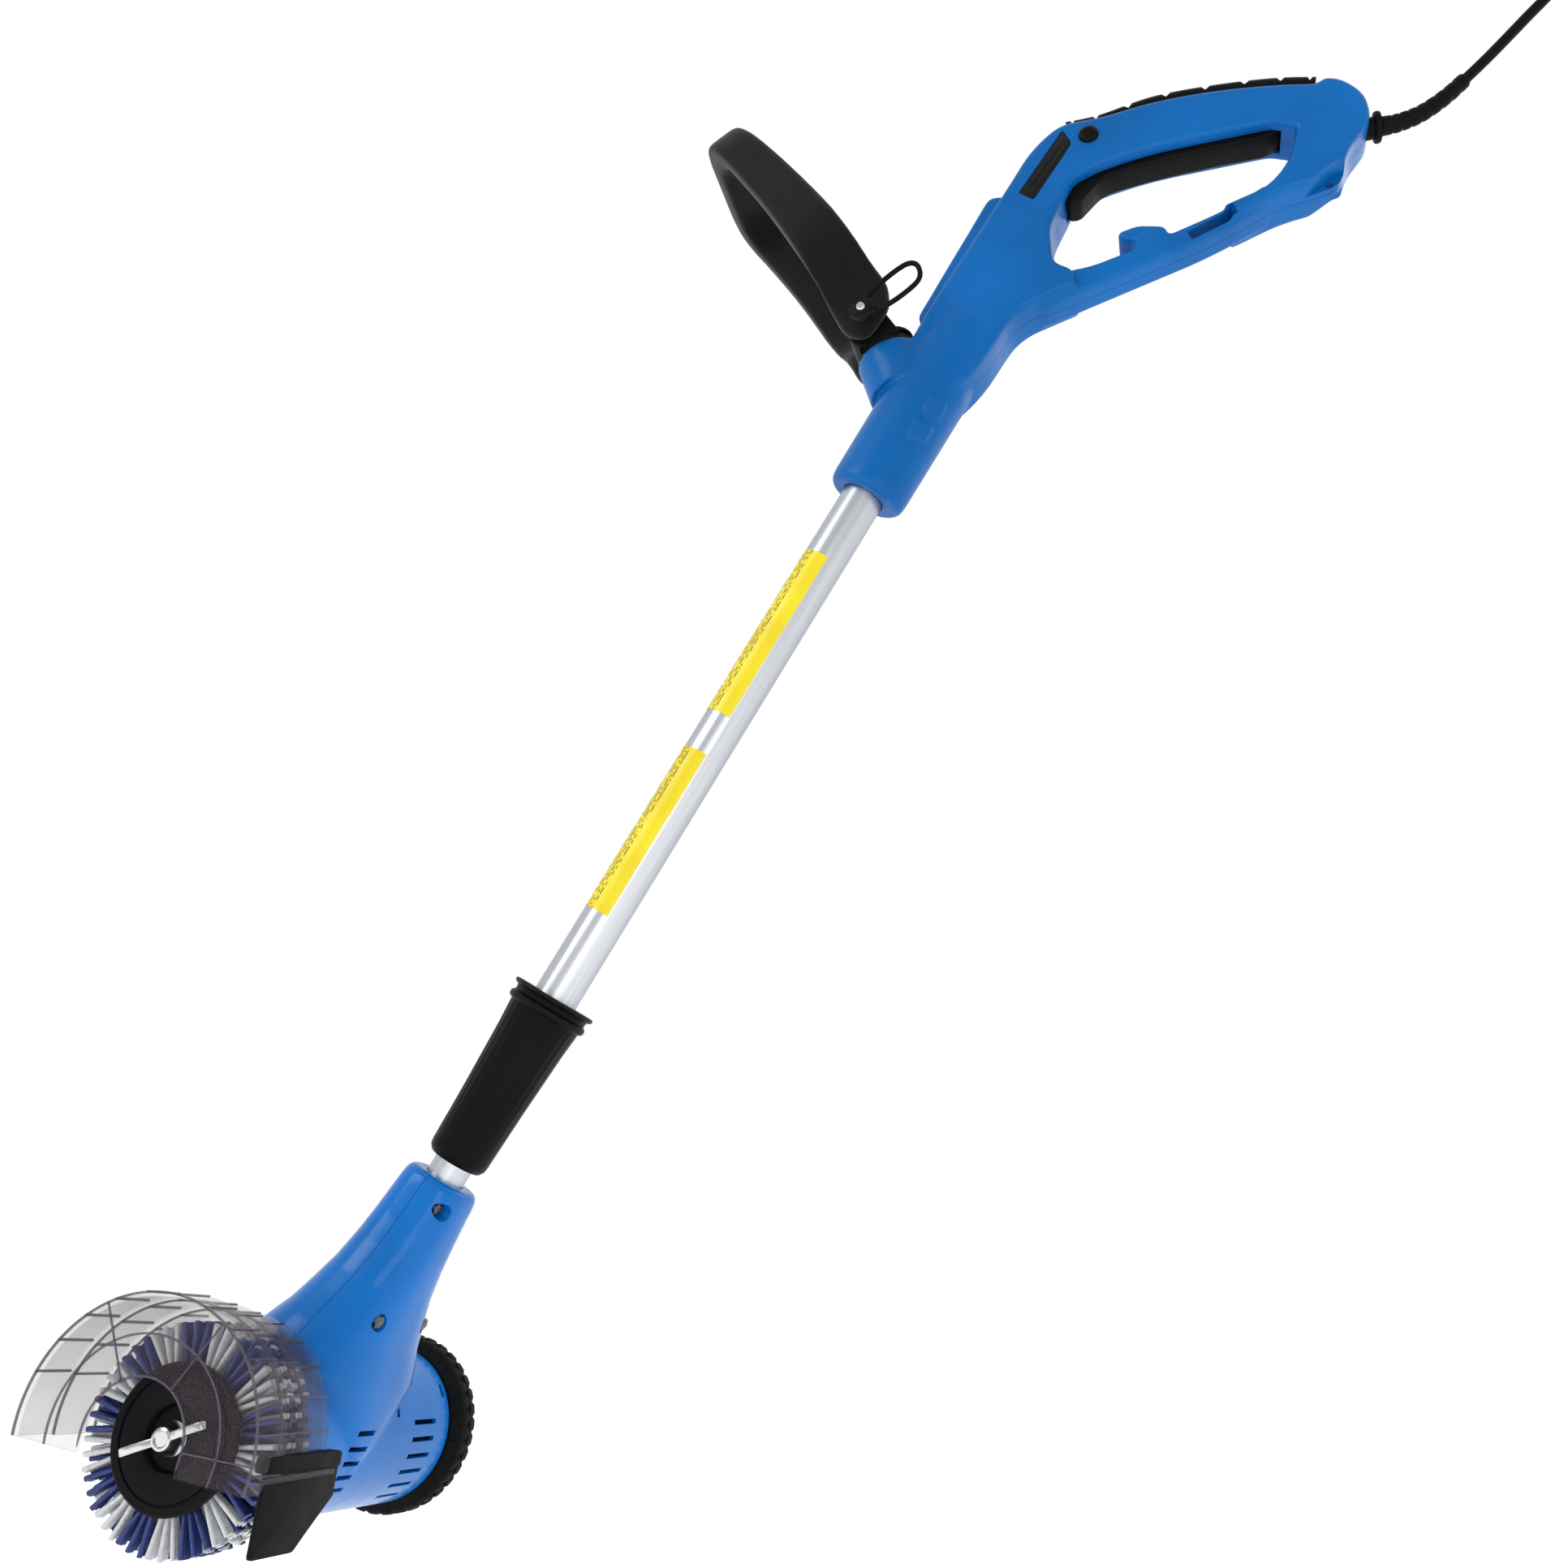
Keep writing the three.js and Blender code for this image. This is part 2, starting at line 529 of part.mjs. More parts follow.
// Extrudes a flat outline along the brush axis between two distances from the tube.
function alongAxis(points, low, high, holes = []) {
  const shape = new THREE.Shape(points);
  shape.holes = holes.map((h) => new THREE.Path(h));
  return new THREE.ExtrudeGeometry(shape, { depth: high - low, steps: 1, bevelEnabled: false })
    .translate(0, 0, low)
    .rotateX(Math.PI / 2);
}

function circle(radius, count = 20) {
  return Array.from({ length: count }, (_, i) => {
    const a = (2 * Math.PI * i) / count;
    return new THREE.Vector2(radius * Math.cos(a), radius * Math.sin(a));
  });
}

const GEAR_BAND = [-4, 8];
function driveTrain() {
  const [low, high] = GEAR_BAND;
  add('motor_can', spun([[27, -84], [28.5, -84], [28.5, -10], [9, -10], [9, -12], [27, -12]]), STEEL);
  const shaft = spun(rod(2.5, -92, low), 16);
  const sun = alongAxis(gearOutline(GEAR.sun), low - 0.5, high - 1);
  add('motor_shaft', join(shaft, sun), STEEL);
  const slotsRound = gearOutline(9).map((p) => p.multiplyScalar(3.2));
  add('armature', alongAxis(slotsRound, -74, -22, [circle(2.8)]), COPPER);
  const blades = Array.from({ length: 8 }, (_, i) => (
    block([6, -0.8, -3.4], [25, 0.8, 3.4]).rotateX(rad(35)).rotateZ((i * Math.PI) / 4)));
  const hubDisc = turned(rod(8, -4, 4), 20);
  const fan = cut(join(hubDisc, ...blades), turned(rod(2.8, -9, 9), 16)).rotateX(Math.PI / 2);
  add('cooling_fan', fan.translate(0, 91.5, 0), NYLON);
  const outer = circle(25.5, 28);
  add('ring_gear', alongAxis(outer, low, high, [gearOutline(GEAR.ring, true)]), NYLON);
  const orbit = (GEAR.module * (GEAR.sun + GEAR.planet)) / 2;
  const spots = [0, 1, 2].map((i) => (i * 2 * Math.PI) / 3);
  const sunStep = (2 * Math.PI) / GEAR.sun;
  spots.forEach((a, i) => {
    const toTooth = Math.round(a / sunStep) * sunStep - a;
    const turn = a + Math.PI * (1 + 1 / GEAR.planet) - (toTooth * GEAR.sun) / GEAR.planet;
    const teeth = gearOutline(GEAR.planet, false, turn);
    const planet = alongAxis(teeth, low + 0.5, high - 0.5, [circle(2.6, 12)]);
    planet.translate(orbit * Math.cos(a), 0, orbit * Math.sin(a));
    add(`planet_gear_${i + 1}`, planet, NYLON);
  });
  const pins = spots.map((a) => spun(rod(2.2, low + 1, high + 1), 12)
    .translate(orbit * Math.cos(a), 0, orbit * Math.sin(a)));
  const spindle = spun([[0, high], [19, high], [19, high + 3], [SPINDLE.radius, high + 3],
    [SPINDLE.radius, HUB.face - 4], [0, HUB.face - 4]], 24);
  add('spindle', join(spindle, ...pins), STEEL);
  add('bearing', spun(ring(SPINDLE.radius + GAP, 13, 16, 24), 28), STEEL);
  const housing = spun([[SPINDLE.radius + GAP, 24.5], [13.5, 24.5], [13.5, 15], [36, 15], [36, 19], [19, 22],
    [19, 58.5], [15, 63], [SPINDLE.radius + GAP, 63]]);
  add('gear_housing', housing, BLACK);
}

// ---- brush, guard, flap --------------------------------------------------------------------------
function brushGroup() {
  const { radius, root, back, front } = BRUSH;
  const bore = SPINDLE.radius + GAP;
  add('brush_hub', spun([[bore, 64], [28, 64], [root - 0.5, 66], [root - 0.5, 95.8], [HUB.radius, 96],
    [HUB.radius, HUB.face - 1], [HUB.radius - 1, HUB.face], [16, HUB.face], [14, 97], [bore, 97]]), BLACK);
  add('bristle_ring', spun(ring(root, radius, back, front), 32), BRISTLE);
  const wings = [0, 1].map((i) => spun([[0, -2], [4, -2], [5.5, 0], [4, 2], [0, 2]], 12)
    .rotateX(Math.PI / 2).scale(2.1, 1, 1.2).translate(i ? 11 : -11, -107, 0).rotateY(rad(-LEAN - 22)));
  const core = spun([[0, 97.4], [8, 97.4], [8, 101], [6, 104], [6, 109], [0, 109]], 20);
  add('wing_screw', join(core, ...wings), STEEL);
}

// The guard sits almost level when the tool leans to its working angle.
function leaning(geometry) {
  return geometry.rotateY(rad(GUARD.turn - LEAN));
}

function guardGroup() {
  const { wall, arch, bottom, steps } = GUARD;
  const outside = steps.flatMap(([low, high, r]) => [[r, low], [r, high]]);
  const inside = [...steps].reverse().flatMap(([low, high, r], i) => [
    [r - wall, i === 0 ? high - wall : high + wall],
    [r - wall, low + wall],
  ]);
  const back = steps[0][0];
  const front = steps.at(-1)[1];
  const hood = spun([...outside, [arch, front], [arch, front - wall], ...inside,
    [22, back + wall], [22, back]], 40);
  const below = leaning(block([-90, -140, -90], [90, -30, bottom]));
  const archway = leaning(block([-arch, -140, -40], [arch, -front + 4, 0]));
  const corners = [[56, back], [65, back], [70, front], [61, front]];
  const rim = new THREE.Shape(corners.map(([x, b]) => new THREE.Vector2(x, -b)));
  const flange = upright(new THREE.ExtrudeGeometry(rim, { depth: 2.5, bevelEnabled: false })
    .translate(0, 0, bottom));
  add('guard', cut(join(cut(hood, below, archway), flange), flapShape(GAP)), SMOKE);
  add('flap', flapShape(), RUBBER);
}

const FLAP = { x: 62.5, thick: 2.4, b: [55, 116] };
// Turns a piece built about the true vertical into the frame of the tube.
const upright = (geometry) => geometry.rotateY(rad(-LEAN));

function flapShape(grow = 0) {
  const [low, high] = [FLAP.b[0] - grow, FLAP.b[1] + grow];
  const side = new THREE.Shape([[low, -6], [low, -20], [low + 20, -36], [low + 27, -42], [high, -42],
    [high, -6]].map(([b, z]) => new THREE.Vector2(b, z)));
  const sheet = new THREE.ExtrudeGeometry(side, { depth: FLAP.thick + 2 * grow, bevelEnabled: false })
    .rotateX(Math.PI / 2)
    .rotateZ(-Math.PI / 2)
    .translate(FLAP.x + FLAP.thick / 2 + grow, 0, 0);
  const [near, far] = [FLAP.x - 6 - grow, FLAP.x + 2.5 + grow];
  const head = block([near, -high, GUARD.bottom + 2.8 - grow], [far, -low, GUARD.bottom + 10 + grow]);
  return upright(join(sheet, head));
}

// ---- support wheel --------------------------------------------------------------------------------
function wheelGroup() {
  const { radius, inner, near, far } = WHEEL;
  const tyre = spun([[inner, near], [radius - 2.5, near], [radius, near - 3], [radius, far + 3],
    [radius - 2.5, far], [inner, far]], 32);
  add('wheel_tyre', tyre, RUBBER);
  const bore = 4.3;
  add('wheel_disc', spun([[bore, -104], [12, -104], [14, -109], [36, -109], [37, -104], [inner - GAP, -104],
    [inner - GAP, -120], [37, -120], [36, -113], [14, -113], [12, -118], [bore, -118]]), BLACK);
  const axle = [[0, -121], [8, -121], [8, -118.3], [4, -118.3], [4, -95.9], [0, -95.9]];
  add('wheel_axle', spun(axle, 16), STEEL);
}

// ---- supply cord, its boot and plug ---------------------------------------------------------------
const CORD_RADIUS = 3.3;
const CORD_POINTS = [
  [200.9, 0, 1016.9], [206, 0, 1034], [211, 0, 1053], [216, 0, 1073], [221, 0, 1092],
  [227, 0, 1116], [234, 0, 1145], [241, 0, 1174], [248, 0, 1203], [255, 0, 1232],
];
const PLUG_TILT = 13.5;                  // degrees between the plug and the tube

function cordGroup() {
  const gland = turned([[0, -8], [6.8, -8], [6.8, 2], [9.5, 3], [9.5, 6], [0, 6]], 16)
    .rotateY(rad(BOOT_TILT)).translate(CORD_EXIT.x, 0, CORD_EXIT.z);
  const points = [
    [169.4, 0, 969.4], [178, 0, 975.2], [187.5, 0, 985.5], [195.5, 0, 1001], [200.8, 0, 1016.6],
  ];
  const path = new THREE.CatmullRomCurve3(points.map((p) => new THREE.Vector3(...p)));
  const round = new THREE.Shape().absarc(0, 0, 5.6, 0, 2 * Math.PI);
  add('cord_gland', gland, BLACK);
  const boot = new THREE.ExtrudeGeometry(round, { steps: 12, curveSegments: 3, extrudePath: path });
  add('cord_boot', boot, RUBBER);
  const route = new THREE.CatmullRomCurve3(CORD_POINTS.map((p) => new THREE.Vector3(...p)));
  const section10 = new THREE.Shape(circle(CORD_RADIUS, 10));
  add('cord', new THREE.ExtrudeGeometry(section10, { steps: 18, extrudePath: route }), RUBBER);
  const end = CORD_POINTS.at(-1);
  const onPlug = (geometry) => geometry.rotateY(rad(PLUG_TILT)).translate(end[0], 0, end[2]);
  const shell = [[4.6, 0.3], [5.2, 14], [10, 20], [15, 27], [15, 40], [13, 44]];
  const plugBody = turned([[0, 0.3], ...shell, [0, 44]], 16).scale(1, 1.2, 1);
  add('plug', onPlug(plugBody), RUBBER);
  const contact = [[0, 44.3], [2.4, 44.3], [2.4, 62], [1.4, 63.5], [0, 63.5]];
  const pin = (side) => turned(contact, 10).translate(0, side * 9.5, 0);
  add('plug_pin_1', onPlug(pin(-1)), STEEL);
  add('plug_pin_2', onPlug(pin(1)), STEEL);
}

handleShells();
handleFittings();
gripPad();
triggerGroup();
frontHandle();
clampLever();
tubes();
lockSleeve();
headShells();
driveTrain();
brushGroup();
guardGroup();
wheelGroup();
cordGroup();

// ---- lean the whole tool and bring the grip to the origin -----------------------------------------
const group = new THREE.Group();
const placed = new THREE.Group();
placed.rotation.y = rad(LEAN);
const grip = new THREE.Vector3(GRIP.x, 0, GRIP.z).applyAxisAngle(new THREE.Vector3(0, 1, 0), rad(LEAN));
placed.position.copy(grip).negate();
placed.add(tool);
group.add(placed);

export default group;
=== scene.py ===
"""Looks of a corded electric weed brush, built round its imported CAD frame.

Shapes are drawn in the tool's own frame: millimetres, z up the tube from the brush axis, x towards the
user, -y on the brush side. TOOL takes them to the row frame in metres.
"""
import json
import math

import bmesh
import bpy
from mathutils import Matrix, Vector


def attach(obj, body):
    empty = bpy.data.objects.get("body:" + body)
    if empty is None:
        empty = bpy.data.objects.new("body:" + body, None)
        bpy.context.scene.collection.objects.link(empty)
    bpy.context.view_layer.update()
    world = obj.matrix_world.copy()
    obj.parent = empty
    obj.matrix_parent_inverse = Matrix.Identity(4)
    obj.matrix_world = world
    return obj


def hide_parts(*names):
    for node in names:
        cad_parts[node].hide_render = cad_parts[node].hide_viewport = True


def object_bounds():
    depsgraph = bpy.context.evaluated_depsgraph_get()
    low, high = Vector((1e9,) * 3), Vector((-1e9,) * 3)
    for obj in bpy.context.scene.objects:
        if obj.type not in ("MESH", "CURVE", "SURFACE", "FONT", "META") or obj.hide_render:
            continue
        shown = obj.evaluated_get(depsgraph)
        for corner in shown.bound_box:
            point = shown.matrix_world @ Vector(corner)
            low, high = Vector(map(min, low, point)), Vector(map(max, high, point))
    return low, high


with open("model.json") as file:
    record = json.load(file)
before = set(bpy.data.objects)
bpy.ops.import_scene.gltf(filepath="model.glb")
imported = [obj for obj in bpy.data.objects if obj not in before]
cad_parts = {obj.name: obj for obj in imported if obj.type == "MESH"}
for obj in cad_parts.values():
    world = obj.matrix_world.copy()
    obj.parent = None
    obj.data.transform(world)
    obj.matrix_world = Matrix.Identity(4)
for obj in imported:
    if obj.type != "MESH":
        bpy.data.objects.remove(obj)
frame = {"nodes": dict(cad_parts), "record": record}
cad_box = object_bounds()

# ---- frame of the tool ---------------------------------------------------------------------------
LEAN = math.radians(25.7)
GRIP = Vector((66, 0, 925))
TURN = Matrix.Rotation(LEAN, 4, "Y")
TOOL = Matrix.Scale(0.001, 4) @ Matrix.Translation(-(TURN @ GRIP)) @ TURN
TUBE_TRAVEL = 0.15
FLOOR = cad_box[0][2] - TUBE_TRAVEL * math.cos(LEAN)


# ---- camera --------------------------------------------------------------------------------------
CAMERA_SPOT = (0.003, -0.756, -0.724)
CAMERA_RIGHT = Vector((0.963, 0.253, 0.097))
CAMERA_BACK = Vector((0.270, -0.900, -0.342))
LENS, SENSOR = 33.54, 36


def make_camera():
    right = CAMERA_RIGHT.normalized()
    up = CAMERA_BACK.cross(right).normalized()
    back = right.cross(up)
    data = bpy.data.cameras.new("camera")
    data.lens = LENS
    data.sensor_width = SENSOR
    camera = bpy.data.objects.new("camera", data)
    axes = Matrix((right, up, back)).transposed().to_4x4()
    camera.matrix_world = Matrix.Translation(CAMERA_SPOT) @ axes
    bpy.context.scene.collection.objects.link(camera)
    bpy.context.scene.camera = camera


make_camera()


# ---- materials -----------------------------------------------------------------------------------
class Nodes:
    """A material's node tree, with short calls to add and join nodes."""

    def __init__(self, name):
        self.material = bpy.data.materials.new(name)
        self.material.use_nodes = True
        self.tree = self.material.node_tree
        self.tree.nodes.clear()
        self.output = self.tree.nodes.new("ShaderNodeOutputMaterial")
        self.shader = self.tree.nodes.new("ShaderNodeBsdfPrincipled")
        self.join(self.shader.outputs[0], self.output.inputs["Surface"])
        self.place = self.tree.nodes.new("ShaderNodeTexCoord").outputs["Object"]

    def join(self, a, b):
        self.tree.links.new(a, b)

    def add(self, kind, inputs=None, **settings):
        node = self.tree.nodes.new("ShaderNode" + kind)
        for key, value in settings.items():
            setattr(node, key, value)
        for key, value in (inputs or {}).items():
            if isinstance(value, bpy.types.NodeSocket):
                self.join(value, node.inputs[key])
            else:
                node.inputs[key].default_value = value
        return node

    def noise(self, scale, detail=3.0, stretch=None):
        vector = self.place
        if stretch:
            vector = self.add("Mapping", {"Vector": vector, "Scale": stretch}).outputs[0]
        return self.add("TexNoise", {"Vector": vector, "Scale": scale, "Detail": detail}).outputs["Fac"]

    def spread(self, value, low, high):
        return self.add("MapRange", {"Value": value, "From Min": 0.3, "From Max": 0.7,
                                     "To Min": low, "To Max": high}).outputs[0]

    def blend(self, factor, a, b):
        mix = self.add("Mix", data_type="RGBA")
        for key, value in ((0, factor), (6, a), (7, b)):
            if isinstance(value, bpy.types.NodeSocket):
                self.join(value, mix.inputs[key])
            else:
                mix.inputs[key].default_value = value if key == 0 else (*value, 1)
        return mix.outputs[2]

    def math(self, operation, a, *b):
        return self.add("Math", dict(enumerate((a, *b))), operation=operation).outputs[0]

    def bump(self, height, strength, distance=0.0003):
        node = self.add("Bump", {"Height": height, "Strength": strength, "Distance": distance})
        self.join(node.outputs[0], self.shader.inputs["Normal"])


def moulded(name, colour, rough, grain=2600.0, relief=0.15, coat=0.0, worn=0.12, sheen=0.0, shine=0.08):
    """Moulded plastic or rubber: faint flow marks, a fine surface grain and paler, rubbed edges."""
    n = Nodes(name)
    flow = n.noise(14.0, 4.0)
    dark = tuple(0.86 * c for c in colour)
    light = tuple(min(1.0, 1.12 * c + 0.0008) for c in colour)
    base = n.blend(n.spread(flow, 0.0, 1.0), dark, light)
    edge = n.add("NewGeometry").outputs["Pointiness"]
    rub = n.add("MapRange", {"Value": edge, "From Min": 0.53, "From Max": 0.62, "To Min": 0.0,
                             "To Max": worn}).outputs[0]
    n.join(n.blend(rub, base, tuple(0.55 * c + 0.25 for c in colour)), n.shader.inputs["Base Color"])
    fine = n.noise(grain, 2.0)
    n.join(n.spread(n.noise(90.0), rough - 0.05, rough + 0.07), n.shader.inputs["Roughness"])
    n.bump(fine, relief)
    n.shader.inputs["Specular IOR Level"].default_value = shine
    n.shader.inputs["Coat Weight"].default_value = coat
    n.shader.inputs["Coat Roughness"].default_value = 0.12
    n.shader.inputs["Sheen Weight"].default_value = sheen
    return n.material


def metal(name, colour, rough, stretch=(1, 1, 1), scale=300.0, relief=0.08):
    """Metal with fine drawing or grinding marks."""
    n = Nodes(name)
    marks = n.noise(scale, 5.0, stretch)
    n.join(n.blend(n.spread(marks, 0.0, 1.0), tuple(0.82 * c for c in colour), colour),
           n.shader.inputs["Base Color"])
    n.join(n.spread(marks, rough - 0.06, rough + 0.1), n.shader.inputs["Roughness"])
    n.shader.inputs["Metallic"].default_value = 1.0
    n.bump(marks, relief)
    return n.material


def drawn_tube():
    """Anodised aluminium tube with faint drawing marks along it; its colour is greyer towards its
    edges, which is painted shade that follows the view.
    """
    n = Nodes("tube")
    turn = n.add("VectorRotate", {"Vector": n.place, "Angle": -LEAN}, rotation_type="Y_AXIS")
    along = turn.outputs[0]
    drawn = n.add("Mapping", {"Vector": along, "Scale": (1, 1, 0.02)}).outputs[0]
    marks = n.add("TexNoise", {"Vector": drawn, "Scale": 700.0, "Detail": 4.0}).outputs["Fac"]
    # Painted shade: the base colour goes from pale grey face on to dark grey where the surface turns
    # away from the view.
    facing = n.add("LayerWeight", {"Blend": 0.45}).outputs["Facing"]
    body = n.blend(facing, (0.72, 0.74, 0.77), (0.24, 0.26, 0.31))
    n.join(n.blend(n.spread(marks, 0.0, 0.35), body, (0.42, 0.44, 0.48)), n.shader.inputs["Base Color"])
    n.join(n.spread(marks, 0.26, 0.38), n.shader.inputs["Roughness"])
    n.shader.inputs["Metallic"].default_value = 1.0
    n.bump(marks, 0.03)
    return n.material


def clear_plastic(name, thin, thick, colour):
    """Smoky clear plastic: thin when seen face on, denser at glancing angles."""
    n = Nodes(name)
    facing = n.add("LayerWeight", {"Blend": 0.35}).outputs["Facing"]
    haze = n.spread(n.noise(22.0, 3.0), -0.02, 0.03)
    dense = n.add("MapRange", {"Value": facing, "From Min": 0.25, "From Max": 1.0, "To Min": thin,
                               "To Max": thick}).outputs[0]
    n.join(n.math("ADD", dense, haze), n.shader.inputs["Alpha"])
    n.join(n.blend(facing, colour, tuple(0.4 * c for c in colour)), n.shader.inputs["Base Color"])
    n.shader.inputs["Roughness"].default_value = 0.12
    n.shader.inputs["Specular IOR Level"].default_value = 0.35
    n.shader.inputs["Coat Weight"].default_value = 0.15
    n.shader.inputs["Coat Roughness"].default_value = 0.04
    n.bump(n.noise(60.0, 2.0), 0.04)
    return n.material


def nylon(name, colour, tip):
    """Bristle nylon: finely streaked, and a little translucent."""
    n = Nodes(name)
    streak = n.noise(500.0, 2.0)
    n.join(n.blend(n.spread(streak, 0.0, 1.0), colour, tip), n.shader.inputs["Base Color"])
    n.shader.inputs["Roughness"].default_value = 0.4
    n.shader.inputs["Transmission Weight"].default_value = 0.12
    n.bump(streak, 0.2)
    return n.material


def label_vinyl():
    """A vinyl label with broken printed lines along one edge, none of them lettering."""
    n = Nodes("label")
    rear = TURN.to_3x3() @ Vector((1, 0, 0))
    middle = (TOOL @ Vector((0, 0, 0))).dot(rear)
    along = n.add("VectorMath", {0: n.place, 1: rear}, operation="DOT_PRODUCT").outputs["Value"]
    side = n.math("SUBTRACT", along, middle)
    line = n.math("GREATER_THAN", n.math("FRACT", n.math("MULTIPLY", side, 520.0)), 0.55)
    near_edge = n.math("LESS_THAN", side, -0.003)
    word = n.math("GREATER_THAN", n.noise(420.0, 0.0), 0.47)
    ink = n.math("MULTIPLY", n.math("MULTIPLY", line, near_edge), word)
    yellow = n.blend(n.spread(n.noise(40.0), 0.0, 1.0), (0.80, 0.62, 0.0), (0.87, 0.74, 0.01))
    n.join(n.blend(ink, yellow, (0.16, 0.13, 0.02)), n.shader.inputs["Base Color"])
    n.join(n.spread(n.noise(120.0), 0.3, 0.42), n.shader.inputs["Roughness"])
    n.bump(n.noise(900.0), 0.05)
    return n.material


LOOKS = {
    "blue_shell": moulded("blue_shell", (0.000, 0.118, 0.400), 0.36, relief=0.08, coat=0.05,
                          worn=0.05, shine=0.14),
    "head_shell": moulded("head_shell", (0.000, 0.150, 0.520), 0.26, relief=0.05, coat=0.22,
                          worn=0.04, shine=0.14),
    "black_plastic": moulded("black_plastic", (0.0035, 0.0035, 0.004), 0.42, worn=0.05),
    "soft_grip": moulded("soft_grip", (0.0042, 0.0042, 0.0046), 0.6, grain=1500.0, relief=0.35,
                         worn=0.03, sheen=0.15),
    "screw_steel": metal("screw_steel", (0.14, 0.14, 0.155), 0.4),
    "tube": drawn_tube(),
    "label": label_vinyl(),
    "guard_clear": clear_plastic("guard_clear", 0.13, 0.5, (0.115, 0.090, 0.108)),
    "bristle": nylon("bristle", (0.012, 0.028, 0.16), (0.03, 0.06, 0.26)),
    "hub_plastic": moulded("hub_plastic", (0.003, 0.003, 0.0045), 0.36, worn=0.06),
    "tyre_rubber": moulded("tyre_rubber", (0.004, 0.004, 0.004), 0.66, grain=1100.0, relief=0.45,
                           worn=0.05),
    "flap_rubber": moulded("flap_rubber", (0.0035, 0.0035, 0.0035), 0.55, grain=1400.0, relief=0.3,
                           worn=0.05),
    "bright_steel": metal("bright_steel", (0.72, 0.72, 0.74), 0.16, (1, 1, 1), 500.0, 0.04),
    "copper": metal("copper", (0.62, 0.27, 0.12), 0.35, (1, 0.1, 1), 700.0, 0.5),
    "gear_nylon": moulded("gear_nylon", (0.72, 0.67, 0.56), 0.45),
    "cord_pvc": moulded("cord_pvc", (0.0035, 0.0035, 0.004), 0.5, worn=0.0),
}
BEAD = clear_plastic("guard_bead", 0.62, 0.9, (0.11, 0.095, 0.12))
PALE_BRISTLE = nylon("bristle_pale", (0.62, 0.64, 0.66), (0.80, 0.81, 0.82))


# ---- mesh helpers: every shape is a (points, faces) pair in the tool's frame ---------------------
def outline(corners, curve=6):
    """Corners [u, v, radius] joined up, each rounded by a quadratic curve."""
    points = []
    count = len(corners)
    for i, (u, v, radius) in enumerate(corners):
        here = Vector((u, v))
        ends = []
        for other in (corners[i - 1], corners[(i + 1) % count]):
            step = Vector(other[:2]) - here
            ends.append(here + step.normalized() * min(radius, step.length * 0.49))
        if radius == 0:
            points.append(here)
            continue
        for k in range(curve + 1):
            t = k / curve
            points.append((1 - t) ** 2 * ends[0] + 2 * t * (1 - t) * here + t * t * ends[1])
    return [p for i, p in enumerate(points) if (p - points[i - 1]).length > 0.15]


def between(points):
    """The solid between two equal outlines, listed one after the other."""
    n = len(points) // 2
    faces = [tuple(range(n)), tuple(range(2 * n - 1, n - 1, -1))]
    faces += [(i, (i + 1) % n, n + (i + 1) % n, n + i) for i in range(n)]
    return points, faces


def prism(corners, half, centre=0.0, curve=6):
    """An x-z outline between y = centre - half and y = centre + half."""
    flat = outline([(*c, 0) if len(c) == 2 else c for c in corners], curve)
    return between([(p.x, centre + side * half, p.y) for side in (-1, 1) for p in flat])


def pillow(corners, half, soft, centre=0.0, curve=6):
    """An x-z outline between y = centre - half and y = centre + half, its rims rounded by soft."""
    data = bpy.data.curves.new("pillow", "CURVE")
    data.dimensions = "2D"
    data.fill_mode = "BOTH"
    data.extrude = half - soft
    data.bevel_depth = soft
    data.bevel_resolution = 3
    data.offset = -soft
    flat = outline([(*c, 0) if len(c) == 2 else c for c in corners], curve)
    spline = data.splines.new("POLY")
    spline.points.add(len(flat) - 1)
    spline.use_cyclic_u = True
    for point, p in zip(spline.points, flat):
        point.co = (p.x, p.y, 0, 1)
    obj = bpy.data.objects.new("pillow", data)
    bpy.context.scene.collection.objects.link(obj)
    mesh = obj.evaluated_get(bpy.context.evaluated_depsgraph_get()).to_mesh()
    bm = bmesh.new()
    bm.from_mesh(mesh)
    bmesh.ops.remove_doubles(bm, verts=bm.verts, dist=0.001)
    points = [(v.co.x, centre - v.co.z, v.co.y) for v in bm.verts]
    faces = [tuple(v.index for v in f.verts) for f in bm.faces]
    bm.free()
    bpy.data.objects.remove(obj)
    return points, faces


def turned(profile, segments=64):
    """A closed profile of (radius, height) points turned about z."""
    points, rows = [], []
    for radius, height in profile:
        if radius < 1e-6:
            rows.append([len(points)] * segments)
            points.append((0, 0, height))
        else:
            rows.append([len(points) + k for k in range(segments)])
            points += [(radius * math.cos(2 * math.pi * k / segments),
                        radius * math.sin(2 * math.pi * k / segments), height) for k in range(segments)]
    if profile[0][0] > 1e-6:
        rows.append(rows[0])
    faces = []
    for low, high in zip(rows, rows[1:]):
        for k in range(segments):
            m = (k + 1) % segments
            face = list(dict.fromkeys((low[k], low[m], high[m], high[k])))
            if len(face) > 2:
                faces.append(tuple(face))
    return points, faces


def moved(shape, matrix):
    points, faces = shape
    return [tuple(matrix @ Vector(p)) for p in points], faces


def spun(profile, segments=64):
    """A profile turned about the brush axis: heights count towards the brush side."""
    return moved(turned(profile, segments), Matrix.Rotation(math.pi / 2, 4, "X"))


def across(shape, x, z, y=0.0):
    return moved(shape, Matrix.Translation((x, y, z)) @ Matrix.Rotation(-math.pi / 2, 4, "X"))


def ring(inner, outer, low, high, soft=0.0):
    return [(inner, low), (outer - soft, low), (outer, low + soft), (outer, high - soft),
            (outer - soft, high), (inner, high)]


def rod(radius, low, high):
    return [(0, low), (radius, low), (radius, high), (0, high)]


def block(low, high):
    corners = [(x, y, z) for z in (low[2], high[2]) for y in (low[1], high[1])
               for x in (low[0], high[0])]
    return corners, [(0, 2, 3, 1), (4, 5, 7, 6), (0, 1, 5, 4), (2, 6, 7, 3), (0, 4, 6, 2), (1, 3, 7, 5)]


